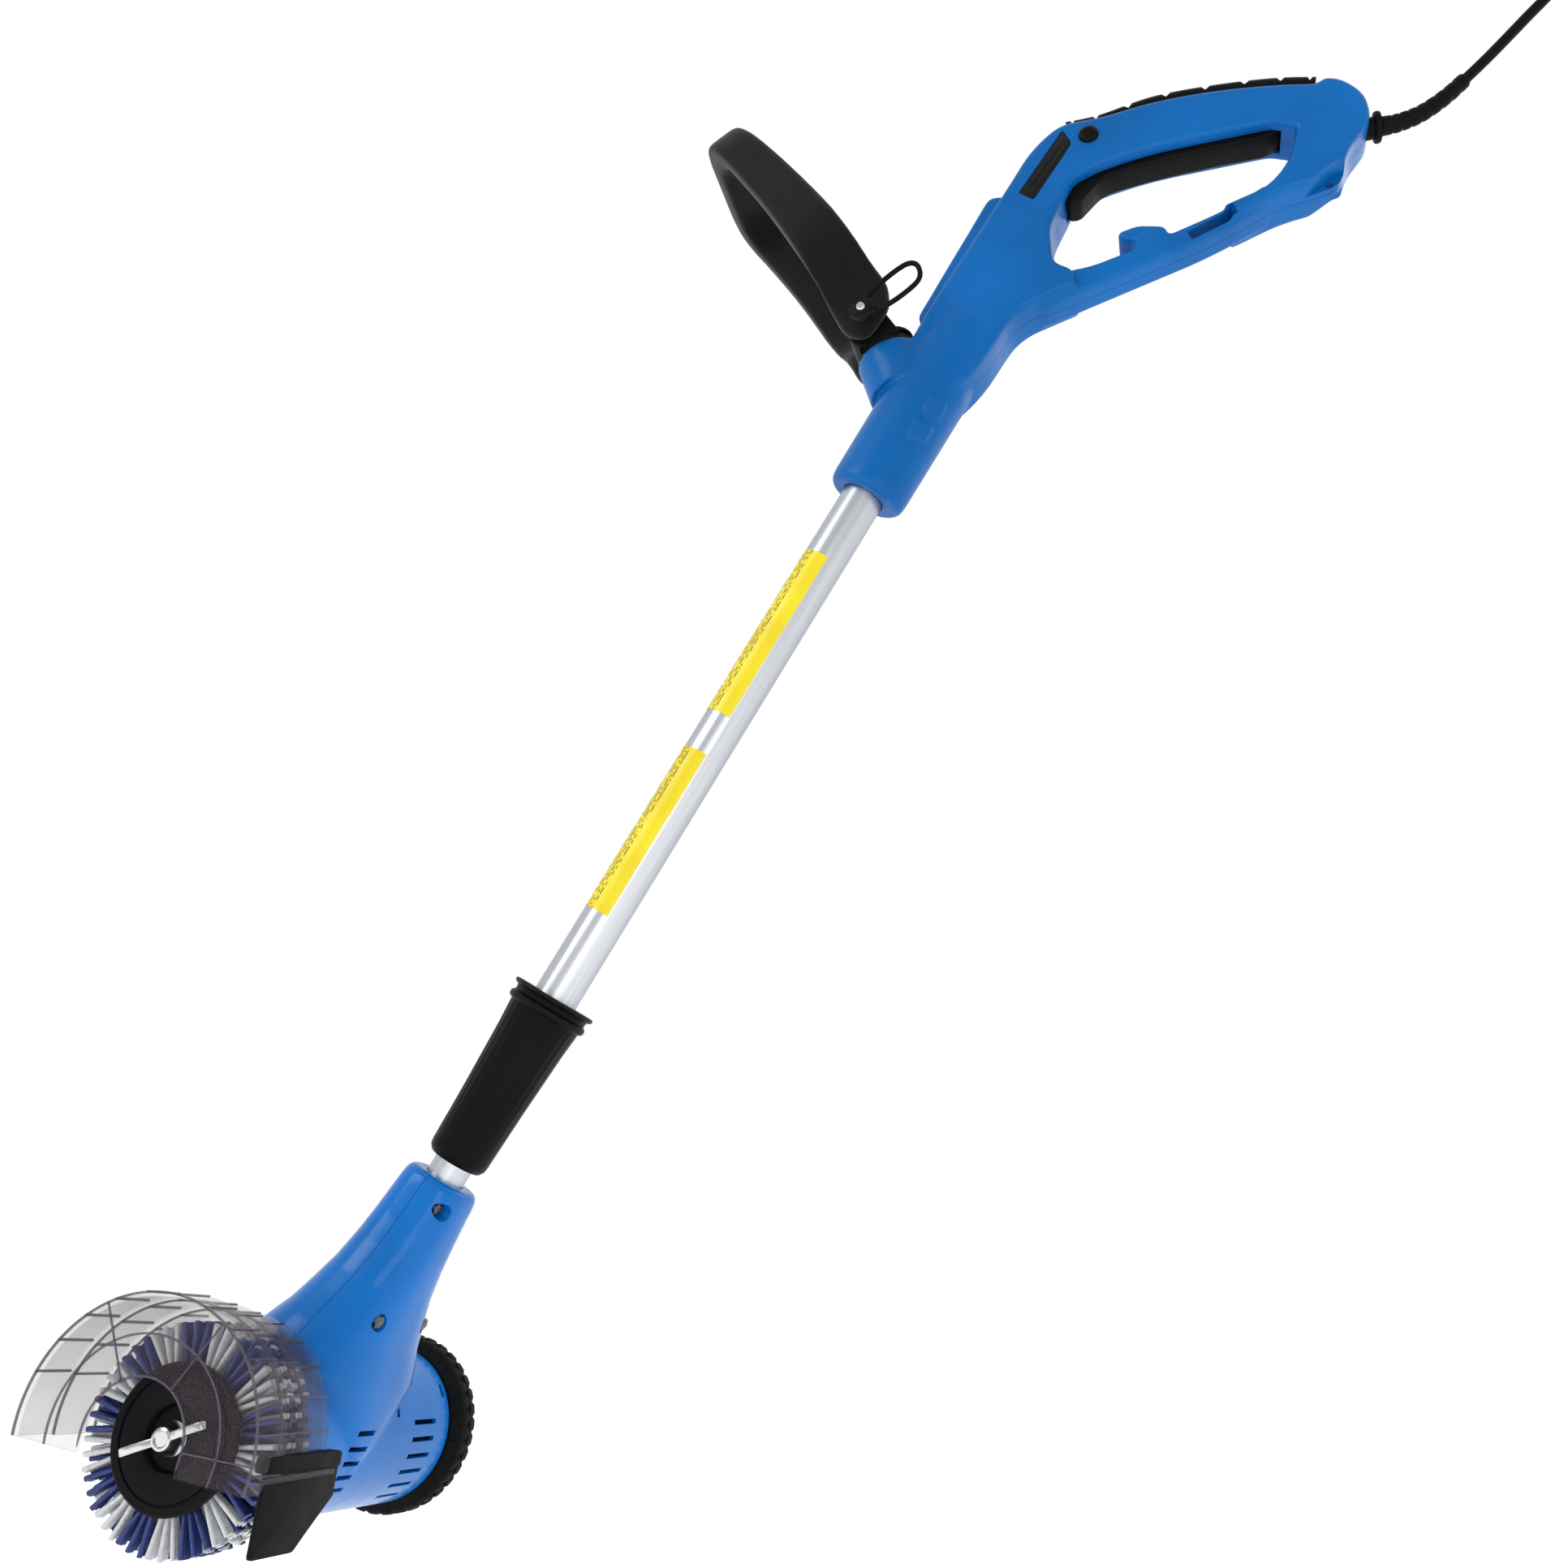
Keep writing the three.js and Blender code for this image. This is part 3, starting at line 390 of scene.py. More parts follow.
def skin(rings):
    """A closed skin over equal rings of points."""
    n = len(rings[0])
    points = [p for r in rings for p in r]
    faces = [tuple(range(n - 1, -1, -1)), tuple(range(len(points) - n, len(points)))]
    for r in range(len(rings) - 1):
        faces += [(r * n + i, r * n + (i + 1) % n, (r + 1) * n + (i + 1) % n, (r + 1) * n + i)
                  for i in range(n)]
    return points, faces


def section(half_x, half_y, z, power=2.6, count=64, x=0.0):
    """A rounded box section at height z."""
    soften = lambda v: math.copysign(abs(v) ** (2 / power), v)
    angles = [2 * math.pi * i / count for i in range(count)]
    return [(x + half_x * soften(math.cos(a)), half_y * soften(math.sin(a)), z) for a in angles]


def smooth_path(points, per_span=8, closed=False):
    """A Catmull-Rom curve through the points."""
    pts = [Vector(p) for p in points]
    n = len(pts)
    at = lambda i: pts[i % n] if closed else pts[max(0, min(n - 1, i))]
    out = []
    for i in range(n if closed else n - 1):
        a, b, c, d = at(i - 1), at(i), at(i + 1), at(i + 2)
        for k in range(per_span):
            t = k / per_span
            out.append(0.5 * ((2 * b) + (c - a) * t + (2 * a - 5 * b + 4 * c - d) * t * t
                              + (3 * b - a - 3 * c + d) * t ** 3))
    return out if closed else out + [pts[-1]]


def sweep(path, radius, sides=16, closed=False):
    """A round tube along a path that stays in a plane of constant y. radius may be a list."""
    n = len(path)
    rings = []
    for i, p in enumerate(path):
        ahead = path[(i + 1) % n] if closed or i + 1 < n else p
        behind = path[i - 1] if closed or i else p
        along = (ahead - behind).normalized()
        side = Vector((0, 1, 0))
        up = along.cross(side).normalized()
        r = radius[i] if isinstance(radius, list) else radius
        rings.append([tuple(p + r * (math.cos(2 * math.pi * k / sides) * side
                                     + math.sin(2 * math.pi * k / sides) * up)) for k in range(sides)])
    if not closed:
        return skin(rings)
    points = [p for r in rings for p in r]
    faces = [(i * sides + k, i * sides + (k + 1) % sides, ((i + 1) % n) * sides + (k + 1) % sides,
              ((i + 1) % n) * sides + k) for i in range(n) for k in range(sides)]
    return points, faces


def together(*shapes):
    points, faces = [], []
    for p, f in shapes:
        start = len(points)
        points += p
        faces += [tuple(start + i for i in face) for face in f]
    return points, faces


def draft(shape, name="draft"):
    """A Blender object of a shape, still in millimetres in the tool's frame."""
    mesh = bpy.data.meshes.new(name)
    mesh.from_pydata([tuple(p) for p in shape[0]], [], shape[1])
    bm = bmesh.new()
    bm.from_mesh(mesh)
    bmesh.ops.recalc_face_normals(bm, faces=bm.faces)
    bm.to_mesh(mesh)
    bm.free()
    obj = bpy.data.objects.new(name, mesh)
    bpy.context.scene.collection.objects.link(obj)
    return obj


def applied(obj, kind, **settings):
    """Adds one modifier and applies it."""
    modifier = obj.modifiers.new(kind, kind)
    for key, value in settings.items():
        setattr(modifier, key, value)
    graph = bpy.context.evaluated_depsgraph_get()
    mesh = bpy.data.meshes.new_from_object(obj.evaluated_get(graph))
    obj.modifiers.clear()
    obj.data = mesh
    return obj


def carved(obj, *shapes, keep=False):
    """Takes the shapes away from obj, or keeps only what lies inside them."""
    for shape in shapes:
        tool = draft(shape)
        applied(obj, "BOOLEAN", operation="INTERSECT" if keep else "DIFFERENCE", object=tool,
                solver="EXACT")
        bpy.data.objects.remove(tool)
    return obj


def cast(shape, voxel, rounds):
    """Overlapping shapes cast as one body with soft inner and outer corners."""
    obj = draft(shape)
    applied(obj, "REMESH", mode="VOXEL", voxel_size=voxel)
    return applied(obj, "SMOOTH", factor=0.6, iterations=rounds)


def rounded(shape, width, segments=3, angle=50):
    """A shape whose sharp edges are bevelled."""
    obj = draft(shape)
    return applied(obj, "BEVEL", width=width, segments=segments, limit_method="ANGLE",
                   angle_limit=math.radians(angle))


def halves(obj, low, high, axis, gap=0.15):
    """Splits obj at the plane axis = 0 into the part below it and the part above."""
    below, above = list(high), list(low)
    below[axis] = -gap
    above[axis] = gap
    twin = obj.copy()
    twin.data = obj.data.copy()
    bpy.context.scene.collection.objects.link(twin)
    return carved(obj, block(low, below), keep=True), carved(twin, block(above, high), keep=True)


def piece(name, source, slot, body, *nodes, crease=38, look=None):
    """Names a finished piece, gives it its material, and lets it ride on its body."""
    obj = draft(source) if isinstance(source, tuple) else source
    obj.name = name
    obj.data.name = name
    obj.data.transform(TOOL)
    obj.data.materials.clear()
    obj.data.materials.append(look or LOOKS[slot])
    obj.data.shade_smooth()
    obj.data.set_sharp_from_angle(angle=math.radians(crease))
    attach(obj, body)
    if nodes:
        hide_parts(*nodes)
    return obj


# ---- supply cord ---------------------------------------------------------------------------------
CORD_EXIT = Vector((164, 0, 966))
BOOT_TILT = math.radians(58)
CORD_RADIUS = 3.3
CORD_ROUTE = [(200.9, 0, 1016.9), (206, 0, 1034), (211, 0, 1053), (216, 0, 1073), (221, 0, 1092),
              (227, 0, 1116), (234, 0, 1145), (241, 0, 1174), (248, 0, 1203), (255, 0, 1232)]
BOOT_ROUTE = [(169.4, 0, 969.4), (178, 0, 975.2), (187.5, 0, 985.5), (195.5, 0, 1001),
              (200.8, 0, 1016.6)]
PLUG_TILT = math.radians(13.5)


def on_plug(shape):
    return moved(shape, Matrix.Translation(CORD_ROUTE[-1]) @ Matrix.Rotation(PLUG_TILT, 4, "Y"))


def make_cord():
    path = smooth_path(CORD_ROUTE, 3)
    cord = piece("supply_cord", sweep(path, CORD_RADIUS, 20), "cord_pvc", "handle", "cord")
    boot_path = smooth_path(BOOT_ROUTE, 10)
    last = len(boot_path) - 1
    radii = [5.8 - 1.1 * i / last - (0.5 if i % 4 == 3 and 3 < i < last - 2 else 0.0)
             for i in range(last + 1)]
    radii[0] = 5.2
    radii[-1] = 4.2
    boot = piece("strain_relief", sweep(boot_path, radii, 28), "cord_pvc", "handle", "cord_boot")
    gland = turned([(0, -8), (6.6, -8), (6.6, 2), (8.9, 2.4), (9.4, 3.2), (9.4, 5), (8.8, 5.9), (0, 6)],
                   40)
    tilt = Matrix.Translation(CORD_EXIT) @ Matrix.Rotation(BOOT_TILT, 4, "Y")
    piece("cord_grommet", moved(gland, tilt), "cord_pvc", "handle", "cord_gland")
    body = [(0, 0.3), (4.4, 0.3), (5.0, 8), (5.4, 14), (8.6, 18), (11.6, 23), (14.2, 27), (15, 31),
            (15, 40), (14.4, 43), (13, 44), (0, 44)]
    oval = Matrix.Scale(1.2, 4, (0, 1, 0))
    plug = piece("plug_body", on_plug(moved(turned(body, 48), oval)), "cord_pvc", "handle", "plug")
    for i, side in ((1, -1), (2, 1)):
        pin = turned([(0, 44.3), (2.4, 44.3), (2.4, 60), (2.1, 62.2), (1.2, 63.4), (0, 63.5)], 24)
        shifted = moved(pin, Matrix.Translation((0, side * 9.5, 0)))
        piece(f"plug_contact_{i}", on_plug(shifted), "bright_steel", "handle",
                          f"plug_pin_{i}")


make_cord()


# ---- floor and light -----------------------------------------------------------------------------
LIT_POINT = Vector((-0.2, 0, -0.4))
LAMPS = [("key", (-1.8, -2.0, 0.9), 1.2, 20), ("rim", (1.4, 1.6, 0.9), 1.4, 7),
         ("low", (0.5, -1.7, -0.6), 0.7, 3)]


def make_studio():
    floor = draft(([(-60, -6, FLOOR), (60, -6, FLOOR), (60, 200, FLOOR), (-60, 200, FLOOR)],
                   [(0, 1, 2, 3)]), "floor")
    n = Nodes("floor")
    n.join(n.blend(n.noise(3.0), (0.96, 0.96, 0.96), (0.98, 0.98, 0.98)), n.shader.inputs["Base Color"])
    n.shader.inputs["Roughness"].default_value = 0.9
    n.shader.inputs["Emission Color"].default_value = (1, 1, 1, 1)
    n.shader.inputs["Emission Strength"].default_value = 0.24
    floor.data.materials.append(n.material)
    world = bpy.data.worlds.new("studio")
    world.use_nodes = True
    tree = world.node_tree
    tree.nodes["Background"].inputs[0].default_value = (1, 1, 1, 1)
    way = tree.nodes.new("ShaderNodeSeparateXYZ")
    tree.links.new(tree.nodes.new("ShaderNodeTexCoord").outputs["Generated"], way.inputs[0])
    depth = tree.nodes.new("ShaderNodeMapRange")
    depth.inputs["From Min"].default_value = -0.5
    depth.inputs["From Max"].default_value = 0.05
    depth.inputs["To Min"].default_value = 0.6
    depth.inputs["To Max"].default_value = 1.0
    tree.links.new(way.outputs[1], depth.inputs["Value"])
    tree.links.new(depth.outputs[0], tree.nodes["Background"].inputs[1])
    bpy.context.scene.world = world
    bpy.context.scene.view_settings.view_transform = "Standard"
    for name, spot, size, power in LAMPS:
        light = bpy.data.lights.new(name, "AREA")
        light.size = size
        light.energy = power
        lamp = bpy.data.objects.new(name, light)
        lamp.location = spot
        towards = LIT_POINT - Vector(spot)
        lamp.rotation_euler = towards.to_track_quat("-Z", "Y").to_euler()
        bpy.context.scene.collection.objects.link(lamp)


make_studio()


# ---- handle: shells, pads, trigger ---------------------------------------------------------------
PIVOT = (-50, 716)
BOSS_TILT = math.radians(47)
BOSS_FOOT = (-8, 0, 686)
BOSS_END = 37
BODY_HALF, BAR_HALF = 17, 11
BODY = [(-21, 690, 0), (-23, 744, 6), (-21, 845, 6), (-21, 876, 12), (-13, 901, 10), (10, 914, 10),
        (34, 934, 30), (66, 953, 30), (100, 968, 30), (124, 976, 3), (127, 982, 3), (138, 984, 10),
        (155, 977, 8), (166, 961, 8), (163, 938, 6), (166, 918, 4), (158, 909, 5), (140, 894, 10),
        (120, 868, 0), (112, 874, 0), (130, 895, 8), (134, 915, 10), (128, 942, 5), (112, 940, 4),
        (84, 922, 20), (50, 900, 20), (26, 878, 10), (16, 864, 5), (19, 826, 8), (34, 803, 6),
        (48, 802, 4), (56, 793, 4), (29, 762, 14), (27.5, 716, 14), (18, 686, 0)]
BAR = [(34, 775, 0), (42, 773, 4), (60, 794, 20), (114, 855, 20), (139, 893, 8), (128, 902, 6),
       (114, 877, 20), (89, 848, 3), (84, 853, 4), (68, 848, 4), (59, 839, 3), (62, 835, 2),
       (72, 837, 2), (74, 831, 3), (56, 812, 6), (34, 797, 0)]
SPINE = [(-29, 738, 6), (-31, 838, 5), (-12, 846, 2), (-12, 736, 2)]
CORD_SLOT = [(98.6, 852.1), (104.4, 847.9), (122.4, 871.9), (116.6, 876.1)]
STRAP_TAB = [(149, 899, 0), (180, 899, 0), (180, 929, 0), (161, 925, 4)]
STRAP_HOLE = (160.4, 915.6)
INSET = [(-11, 842, 2), (1, 840, 2), (3, 888, 3), (-8, 896, 3)]
SCREWS = [(30, 784), (82, 834), (149, 921), (146, 943), (19.6, 655)]
TRIGGER_PIVOT = (115, 947)
TRIGGER_TRAVEL = 3
LOCK_BUTTON = (10, 897)


def trigger_outline(g):
    return [(110 + g, 951 + g, 3), (84, 938 + g, 20), (46, 912 + g, 20), (24 - g, 890 + g, 8),
            (14 - g, 868, 4), (17 - g, 850 - g, 4), (25 + g, 853 - g, 4), (30, 876 - g, 8),
            (54, 896 - g, 20), (86, 918 - g, 20), (112 + g, 934 - g, 3), (120 + g, 946, 3)]


def squeezed(shape, degrees):
    here = Vector((TRIGGER_PIVOT[0], 0, TRIGGER_PIVOT[1]))
    return moved(shape, Matrix.Translation(here) @ Matrix.Rotation(math.radians(degrees), 4, "Y")
                 @ Matrix.Translation(-here))


def on_boss(profile, segments=64):
    tilt = Matrix.Translation(BOSS_FOOT) @ Matrix.Rotation(-BOSS_TILT, 4, "Y")
    return moved(turned(profile, segments), tilt)


def make_handle():
    barrel = skin([section(22, 19, 617, 2, x=1), section(24.4, 21.4, 619.5, 2, x=1),
                   section(25, 22, 624, 2, x=1), section(25, 22, 700, 2.2, x=1),
                   section(21, 18, 750, x=1)])
    diagonal = Matrix.Translation((1, 0, 0)) @ Matrix.Rotation(math.radians(-45), 4, "Z")
    bumps = [moved(block((15, -6, z), (25.2, 6, z + 11)), diagonal) for z in (658, 676)]
    whole = together(pillow(BODY, BODY_HALF, 4), pillow(BAR, BAR_HALF, 2.5), barrel,
                     on_boss(rod(21, 8, BOSS_END)), pillow(SPINE, 11, 2), *bumps)
    shell = cast(whole, 1.05, 5)
    gland_hole = moved(turned(rod(7.2, -16, 20), 32),
                       Matrix.Translation(CORD_EXIT) @ Matrix.Rotation(BOOT_TILT, 4, "Y"))
    carved(shell, turned(rod(13.6, 600, 696.3)),
           prism(trigger_outline(1.4), 9.6), squeezed(prism(trigger_outline(1.4), 9.6), TRIGGER_TRAVEL),
           prism(CORD_SLOT, 30), gland_hole, across(turned(rod(6.4, -30, -6), 48), *LOCK_BUTTON),
           across(turned(rod(2.3, -30, 30), 32), *STRAP_HOLE),
           prism(STRAP_TAB, 12, -16), prism(STRAP_TAB, 12, 16),
           prism(INSET, 3, -BODY_HALF), prism(INSET, 3, BODY_HALF), on_boss(rod(5.2, 18, 60), 32),
           *[across(turned(rod(4.6, 0, 30), 32), x, z, BODY_HALF - 9) for x, z in SCREWS])
    near, far = halves(shell, (-220, -60, 560), (280, 60, 1120), 1)
    piece("handle_cover_brush_side", near, "blue_shell", "handle", "handle_shell_brush_side", crease=45)
    piece("handle_cover_wheel_side", far, "blue_shell", "handle", "handle_shell_wheel_side", crease=45)
    for side, name in ((-1, "brush_side"), (1, "wheel_side")):
        inner = [(x + (0.4 if x < -5 else -0.4), z + (0.4 if z < 860 else -0.4), r)
                 for x, z, r in INSET]
        ribs = [prism([(x, 848 + (x + 11) * 0.6, 0.6), (x + 1.6, 848 + (x + 11) * 0.6, 0.6),
                       (x + 3.6, 884, 0.6), (x + 2.0, 884, 0.6)], 0.5, side * (BODY_HALF - 0.2))
                for x in (-7, -3.6)]
        pad = together(prism(inner, 1.6, side * (BODY_HALF - 1.9)), *ribs)
        piece(f"grip_inset_{name}", rounded(pad, 0.35, 2), "soft_grip", "handle", f"inset_pad_{name}")


PAD_TOP = [(-10, 904), (8, 915.5), (34, 939), (66, 958), (98, 973), (122, 981)]


def make_top_pad():
    path = smooth_path([(x, 0, z) for x, z in PAD_TOP], 14)
    n = len(path)
    rings = []
    for i, p in enumerate(path):
        along = (path[min(i + 1, n - 1)] - path[max(i - 1, 0)]).normalized()
        up = Vector((-along.z, 0, along.x))
        notch = i % 9 == 4 and 2 < i < n - 3
        top = 1.9 if notch else 3.7
        side = 11.6 if notch else 13
        shape = [(-side, 0.3), (-side, top * 0.35), (-side + 0.9, top * 0.75), (-side + 2.8, top),
                 (side - 2.8, top), (side - 0.9, top * 0.75), (side, top * 0.35), (side, 0.3)]
        rings.append([tuple(p + up * h + Vector((0, y, 0))) for y, h in shape])
    piece("top_pad", skin(rings), "soft_grip", "handle", "top_grip_pad", crease=30)


def make_trigger():
    body = carved(rounded(prism(trigger_outline(-0.2), 9, curve=8), 2.2, 4),
                  across(turned(rod(2.9, -20, 20), 32), *TRIGGER_PIVOT))
    piece("trigger_lever", body, "black_plastic", "trigger", "trigger", crease=45)
    button = turned([(0, -20), (3.4, -20), (4.4, -19.8), (5.6, -19), (6, -18), (6, -12), (0, -12)], 48)
    piece("lock_off_cap", across(button, *LOCK_BUTTON), "black_plastic", "lock_off_button",
          "lock_off_button")


# ---- front handle --------------------------------------------------------------------------------
LOOP_SIDE = [(-40, 730, 6), (-50, 746, 8), (-84, 762, 20), (-120, 780, 30), (-166, 800, 20),
             (-211, 815, 14), (-227, 809, 10), (-223, 793, 10), (-192, 781, 10), (-150, 760, 30),
             (-113, 738, 30), (-72, 712, 12), (-56, 701, 8), (-42, 705, 8)]
LOOP_SLOPE = math.atan2(64, -140)
WIRE = [(-50, 723), (-48, 738), (-40, 755), (-32, 756), (-27, 745), (-38, 722)]


def loop_plan(half, foot, shoulder, top, low, depth, r):
    """An outline in the loop's own plane, as a plate in the tool's frame."""
    corners = [(low, -foot, 2), (20, -foot, 12), (shoulder, -half, 20), (top, -half, r),
               (top, half, r), (shoulder, half, 20), (20, foot, 12), (low, foot, 2)]
    flat = outline(corners, 8)
    return on_loop(between([(p.x, p.y, side * depth / 2) for side in (-1, 1) for p in flat]))


def on_loop(shape):
    return moved(shape, Matrix.Translation((PIVOT[0], 0, PIVOT[1]))
                 @ Matrix.Rotation(-LOOP_SLOPE, 4, "Y"))


def make_front_handle():
    seat = BOSS_END + 0.3
    base = [(0, seat), (18.8, seat), (19.5, seat + 0.7), (19.5, seat + 3.6), (18.9, seat + 4.2),
            (17.5, seat + 4.9), (17.5, seat + 6.9), (18.6, seat + 7.5), (19, seat + 8.2),
            (19, seat + 10), (16, seat + 13), (0, seat + 13)]
    tongue = [(-30, 722, 3), (-38, 700, 3), (-60, 704, 10), (-62, 724, 10), (-46, 731, 3)]
    stub = draft(on_boss(base, 72))
    tongue_obj = rounded(prism(tongue, 19.5), 1.5, 3)
    carved(tongue_obj, on_boss(rod(60, 0, seat + 3), 48), block((-22.7, -40, 680), (20, 40, 780)))
    piece("handle_stub", stub, "black_plastic", "handle", "front_handle_base")
    piece("handle_stub_tongue", tongue_obj, "black_plastic", "handle")
    loop = draft(prism(LOOP_SIDE, 62, curve=10))
    carved(loop, loop_plan(54, 30, 54, 187, -26, 140, 34), keep=True)
    carved(loop, loop_plan(40, 20, 41, 170, -30, 160, 24),
           on_loop(block((-30, -20, -60), (14, 20, 60))))
    applied(loop, "REMESH", mode="VOXEL", voxel_size=1.3)
    applied(loop, "SMOOTH", factor=0.6, iterations=60)
    carved(loop, across(turned(rod(3.6, -60, 60), 32), *PIVOT))
    piece("front_loop", loop, "soft_grip", "front_handle", "front_handle_loop", crease=60)
    bolt = [(0, -42), (2.2, -42), (3.0, -41.2), (3.2, -40), (3.2, 33), (2.6, 34), (0, 34)]
    piece("tilt_bolt_turned", across(turned(bolt, 40), *PIVOT), "bright_steel", "handle", "tilt_bolt")
    wire = smooth_path([(x, -38, z) for x, z in WIRE], 10, True)
    nut = across(turned([(3.5, -41), (5.2, -41), (6.4, -40.6), (8, -39.6), (8, -36.8), (7.4, -36.4),
                         (3.5, -36.4)], 40), *PIVOT)
    piece("clamp_wire", together(sweep(wire, 1.6, 14, True), nut), "black_plastic", "clamp_lever",
          "clamp_lever")


# ---- tubes, labels, lock sleeve ------------------------------------------------------------------
def make_tubes():
    piece("outer_tube", turned(ring(11.6, 13, 168, 696, 0.2), 96), "tube", "handle", "upper_tube")
    piece("inner_tube", turned(ring(9.6, 11, 62, 430, 0.2), 96), "tube", "head", "slide_tube")
    for name, low, high in (("lower", 318, 427), ("upper", 453, 568)):
        angles = [math.radians(-160 + 100 * k / 40) for k in range(41)]
        edge = lambda r: [(r * math.cos(a), r * math.sin(a)) for a in angles]
        flat = edge(13.34) + edge(13.08)[::-1]
        points = [(x, y, z) for z in (low, high) for x, y in flat]
        n = len(flat)
        faces = [(i, (i + 1) % n, n + (i + 1) % n, n + i) for i in range(n)]
        for k in range(40):
            m = n - 1 - k
            faces += [(k, m, m - 1, k + 1), (n + k, n + k + 1, n + m - 1, n + m)]
        piece(f"tube_label_{name}", (points, faces), "label", "handle", f"label_{name}")


def make_sleeve():
    bore, neck, low, top = 13.3, 11.3, 160, 264
    profile = [(neck, low), (14.2, low), (15.2, low + 0.5), (17, low + 3), (17.4, low + 6),
               (17.6, low + 12), (18.6, low + 40), (20.5, top - 26), (21.5, top - 14),
               (21.6, top - 11.5), (23.4, top - 10.6), (24, top - 9.6), (24, top - 7.6),
               (23.2, top - 6.8), (22.2, top - 6), (22.4, top - 3.4), (24, top - 2.6), (25, top - 1.8),
               (25, top - 0.6), (24.4, top), (bore, top), (bore, top - 34), (16, top - 36),
               (16, low + 4), (neck, low + 4)]
    points, faces = turned(profile, 96)
    fluted = []
    for x, y, z in points:
        r = math.hypot(x, y)
        deep = 0.0
        if r > 17.5 and low + 14 < z < top - 12:
            deep = 0.45 * (0.5 + 0.5 * math.cos(24 * math.atan2(y, x)))
        fluted.append((x * (1 - deep / r), y * (1 - deep / r), z))
    piece("sleeve", (fluted, faces), "black_plastic", "lock_sleeve", "lock_sleeve")


# ---- head ----------------------------------------------------------------------------------------
DRUM_RADIUS, DRUM_WALL, BRUSH_END, WHEEL_END = 43, 2.5, 58, -101
VENTS = [(4, 15, 30, 10, 5), (-69, 25, 34, 12, 6)]
SMALL_SLOTS = [(-38, 43), (-93, 56)]
HEAD_SCREWS = [(12, -14.5, 137), (12, 14.5, 137), (22, -24, 76), (22, 24, 76)]


def vent(centre, length, angle, height=2.6):
    bar = block((DRUM_RADIUS - 6, -centre - length / 2, -height / 2),
                (DRUM_RADIUS + 6, -centre + length / 2, height / 2))
    return moved(bar, Matrix.Rotation(math.radians(-angle), 4, "Y"))


def make_head():
    arm = skin([section(43.2, 12, 2), section(42.8, 24, 12), section(42, 36, 22), section(40, 46, 33),
                section(37, 54, 44), section(34, 51, 52), section(30, 46, 62), section(27.4, 38, 76),
                section(25, 31, 90), section(23.3, 26, 106), section(22, 23, 122),
                section(20.8, 20.4, 142), section(20, 19.6, 147), section(18, 17.5, 150)])
    drum = spun([(0, WHEEL_END), (40, WHEEL_END), (42.2, WHEEL_END + 0.8), (43, WHEEL_END + 3),
                 (43, BRUSH_END - 3), (42.2, BRUSH_END - 0.8), (40, BRUSH_END), (0, BRUSH_END)], 128)
    shell = cast(together(arm, drum), 1.2, 6)
    inside = DRUM_RADIUS - DRUM_WALL
    slots = [vent(c, length, first - row * step) for c, length, first, step, rows in VENTS
             for row in range(rows)]
    slots += [vent(c, 3, angle, 7) for c, angle in SMALL_SLOTS]
    turn = Matrix.Rotation(math.pi / 2, 4, "Y")
    wells = [moved(turned(rod(4.5, 0, 40), 32), Matrix.Translation(spot) @ turn)
             for spot in HEAD_SCREWS]
    carved(shell, spun(rod(inside, WHEEL_END + DRUM_WALL, BRUSH_END - DRUM_WALL), 96),
           turned(rod(11.4, 30, 200)), spun(rod(19.3, 40, 70)), spun(rod(4.2, -120, -90), 32),
           together(*slots), together(*wells))
    front, rear = halves(shell, (-110, -150, -90), (110, 150, 230), 0)
    piece("head_cover_front", front, "head_shell", "head", "head_shell_front", crease=45)
    piece("head_cover_rear", rear, "head_shell", "head", "head_shell_rear", crease=45)
    housing = [(5.3, 24.5), (13.5, 24.5), (13.5, 15), (36, 15), (36, 19), (19, 22), (19, 57.6),
               (18.4, 58.5), (15.4, 62.6), (14.6, 63), (5.3, 63)]
    piece("gear_case", spun(housing, 72), "black_plastic", "head", "gear_housing")


# ---- brush ---------------------------------------------------------------------------------------
BRISTLE_ROOT, BRISTLE_TIP = 30.1, 52.4
TUFT_ROWS = [69, 75, 81, 87, 92.5]
TUFTS_PER_ROW = 18
FILAMENTS_PER_TUFT = 9
ROOT_FAN, TIP_FAN = 0.15, 0.27


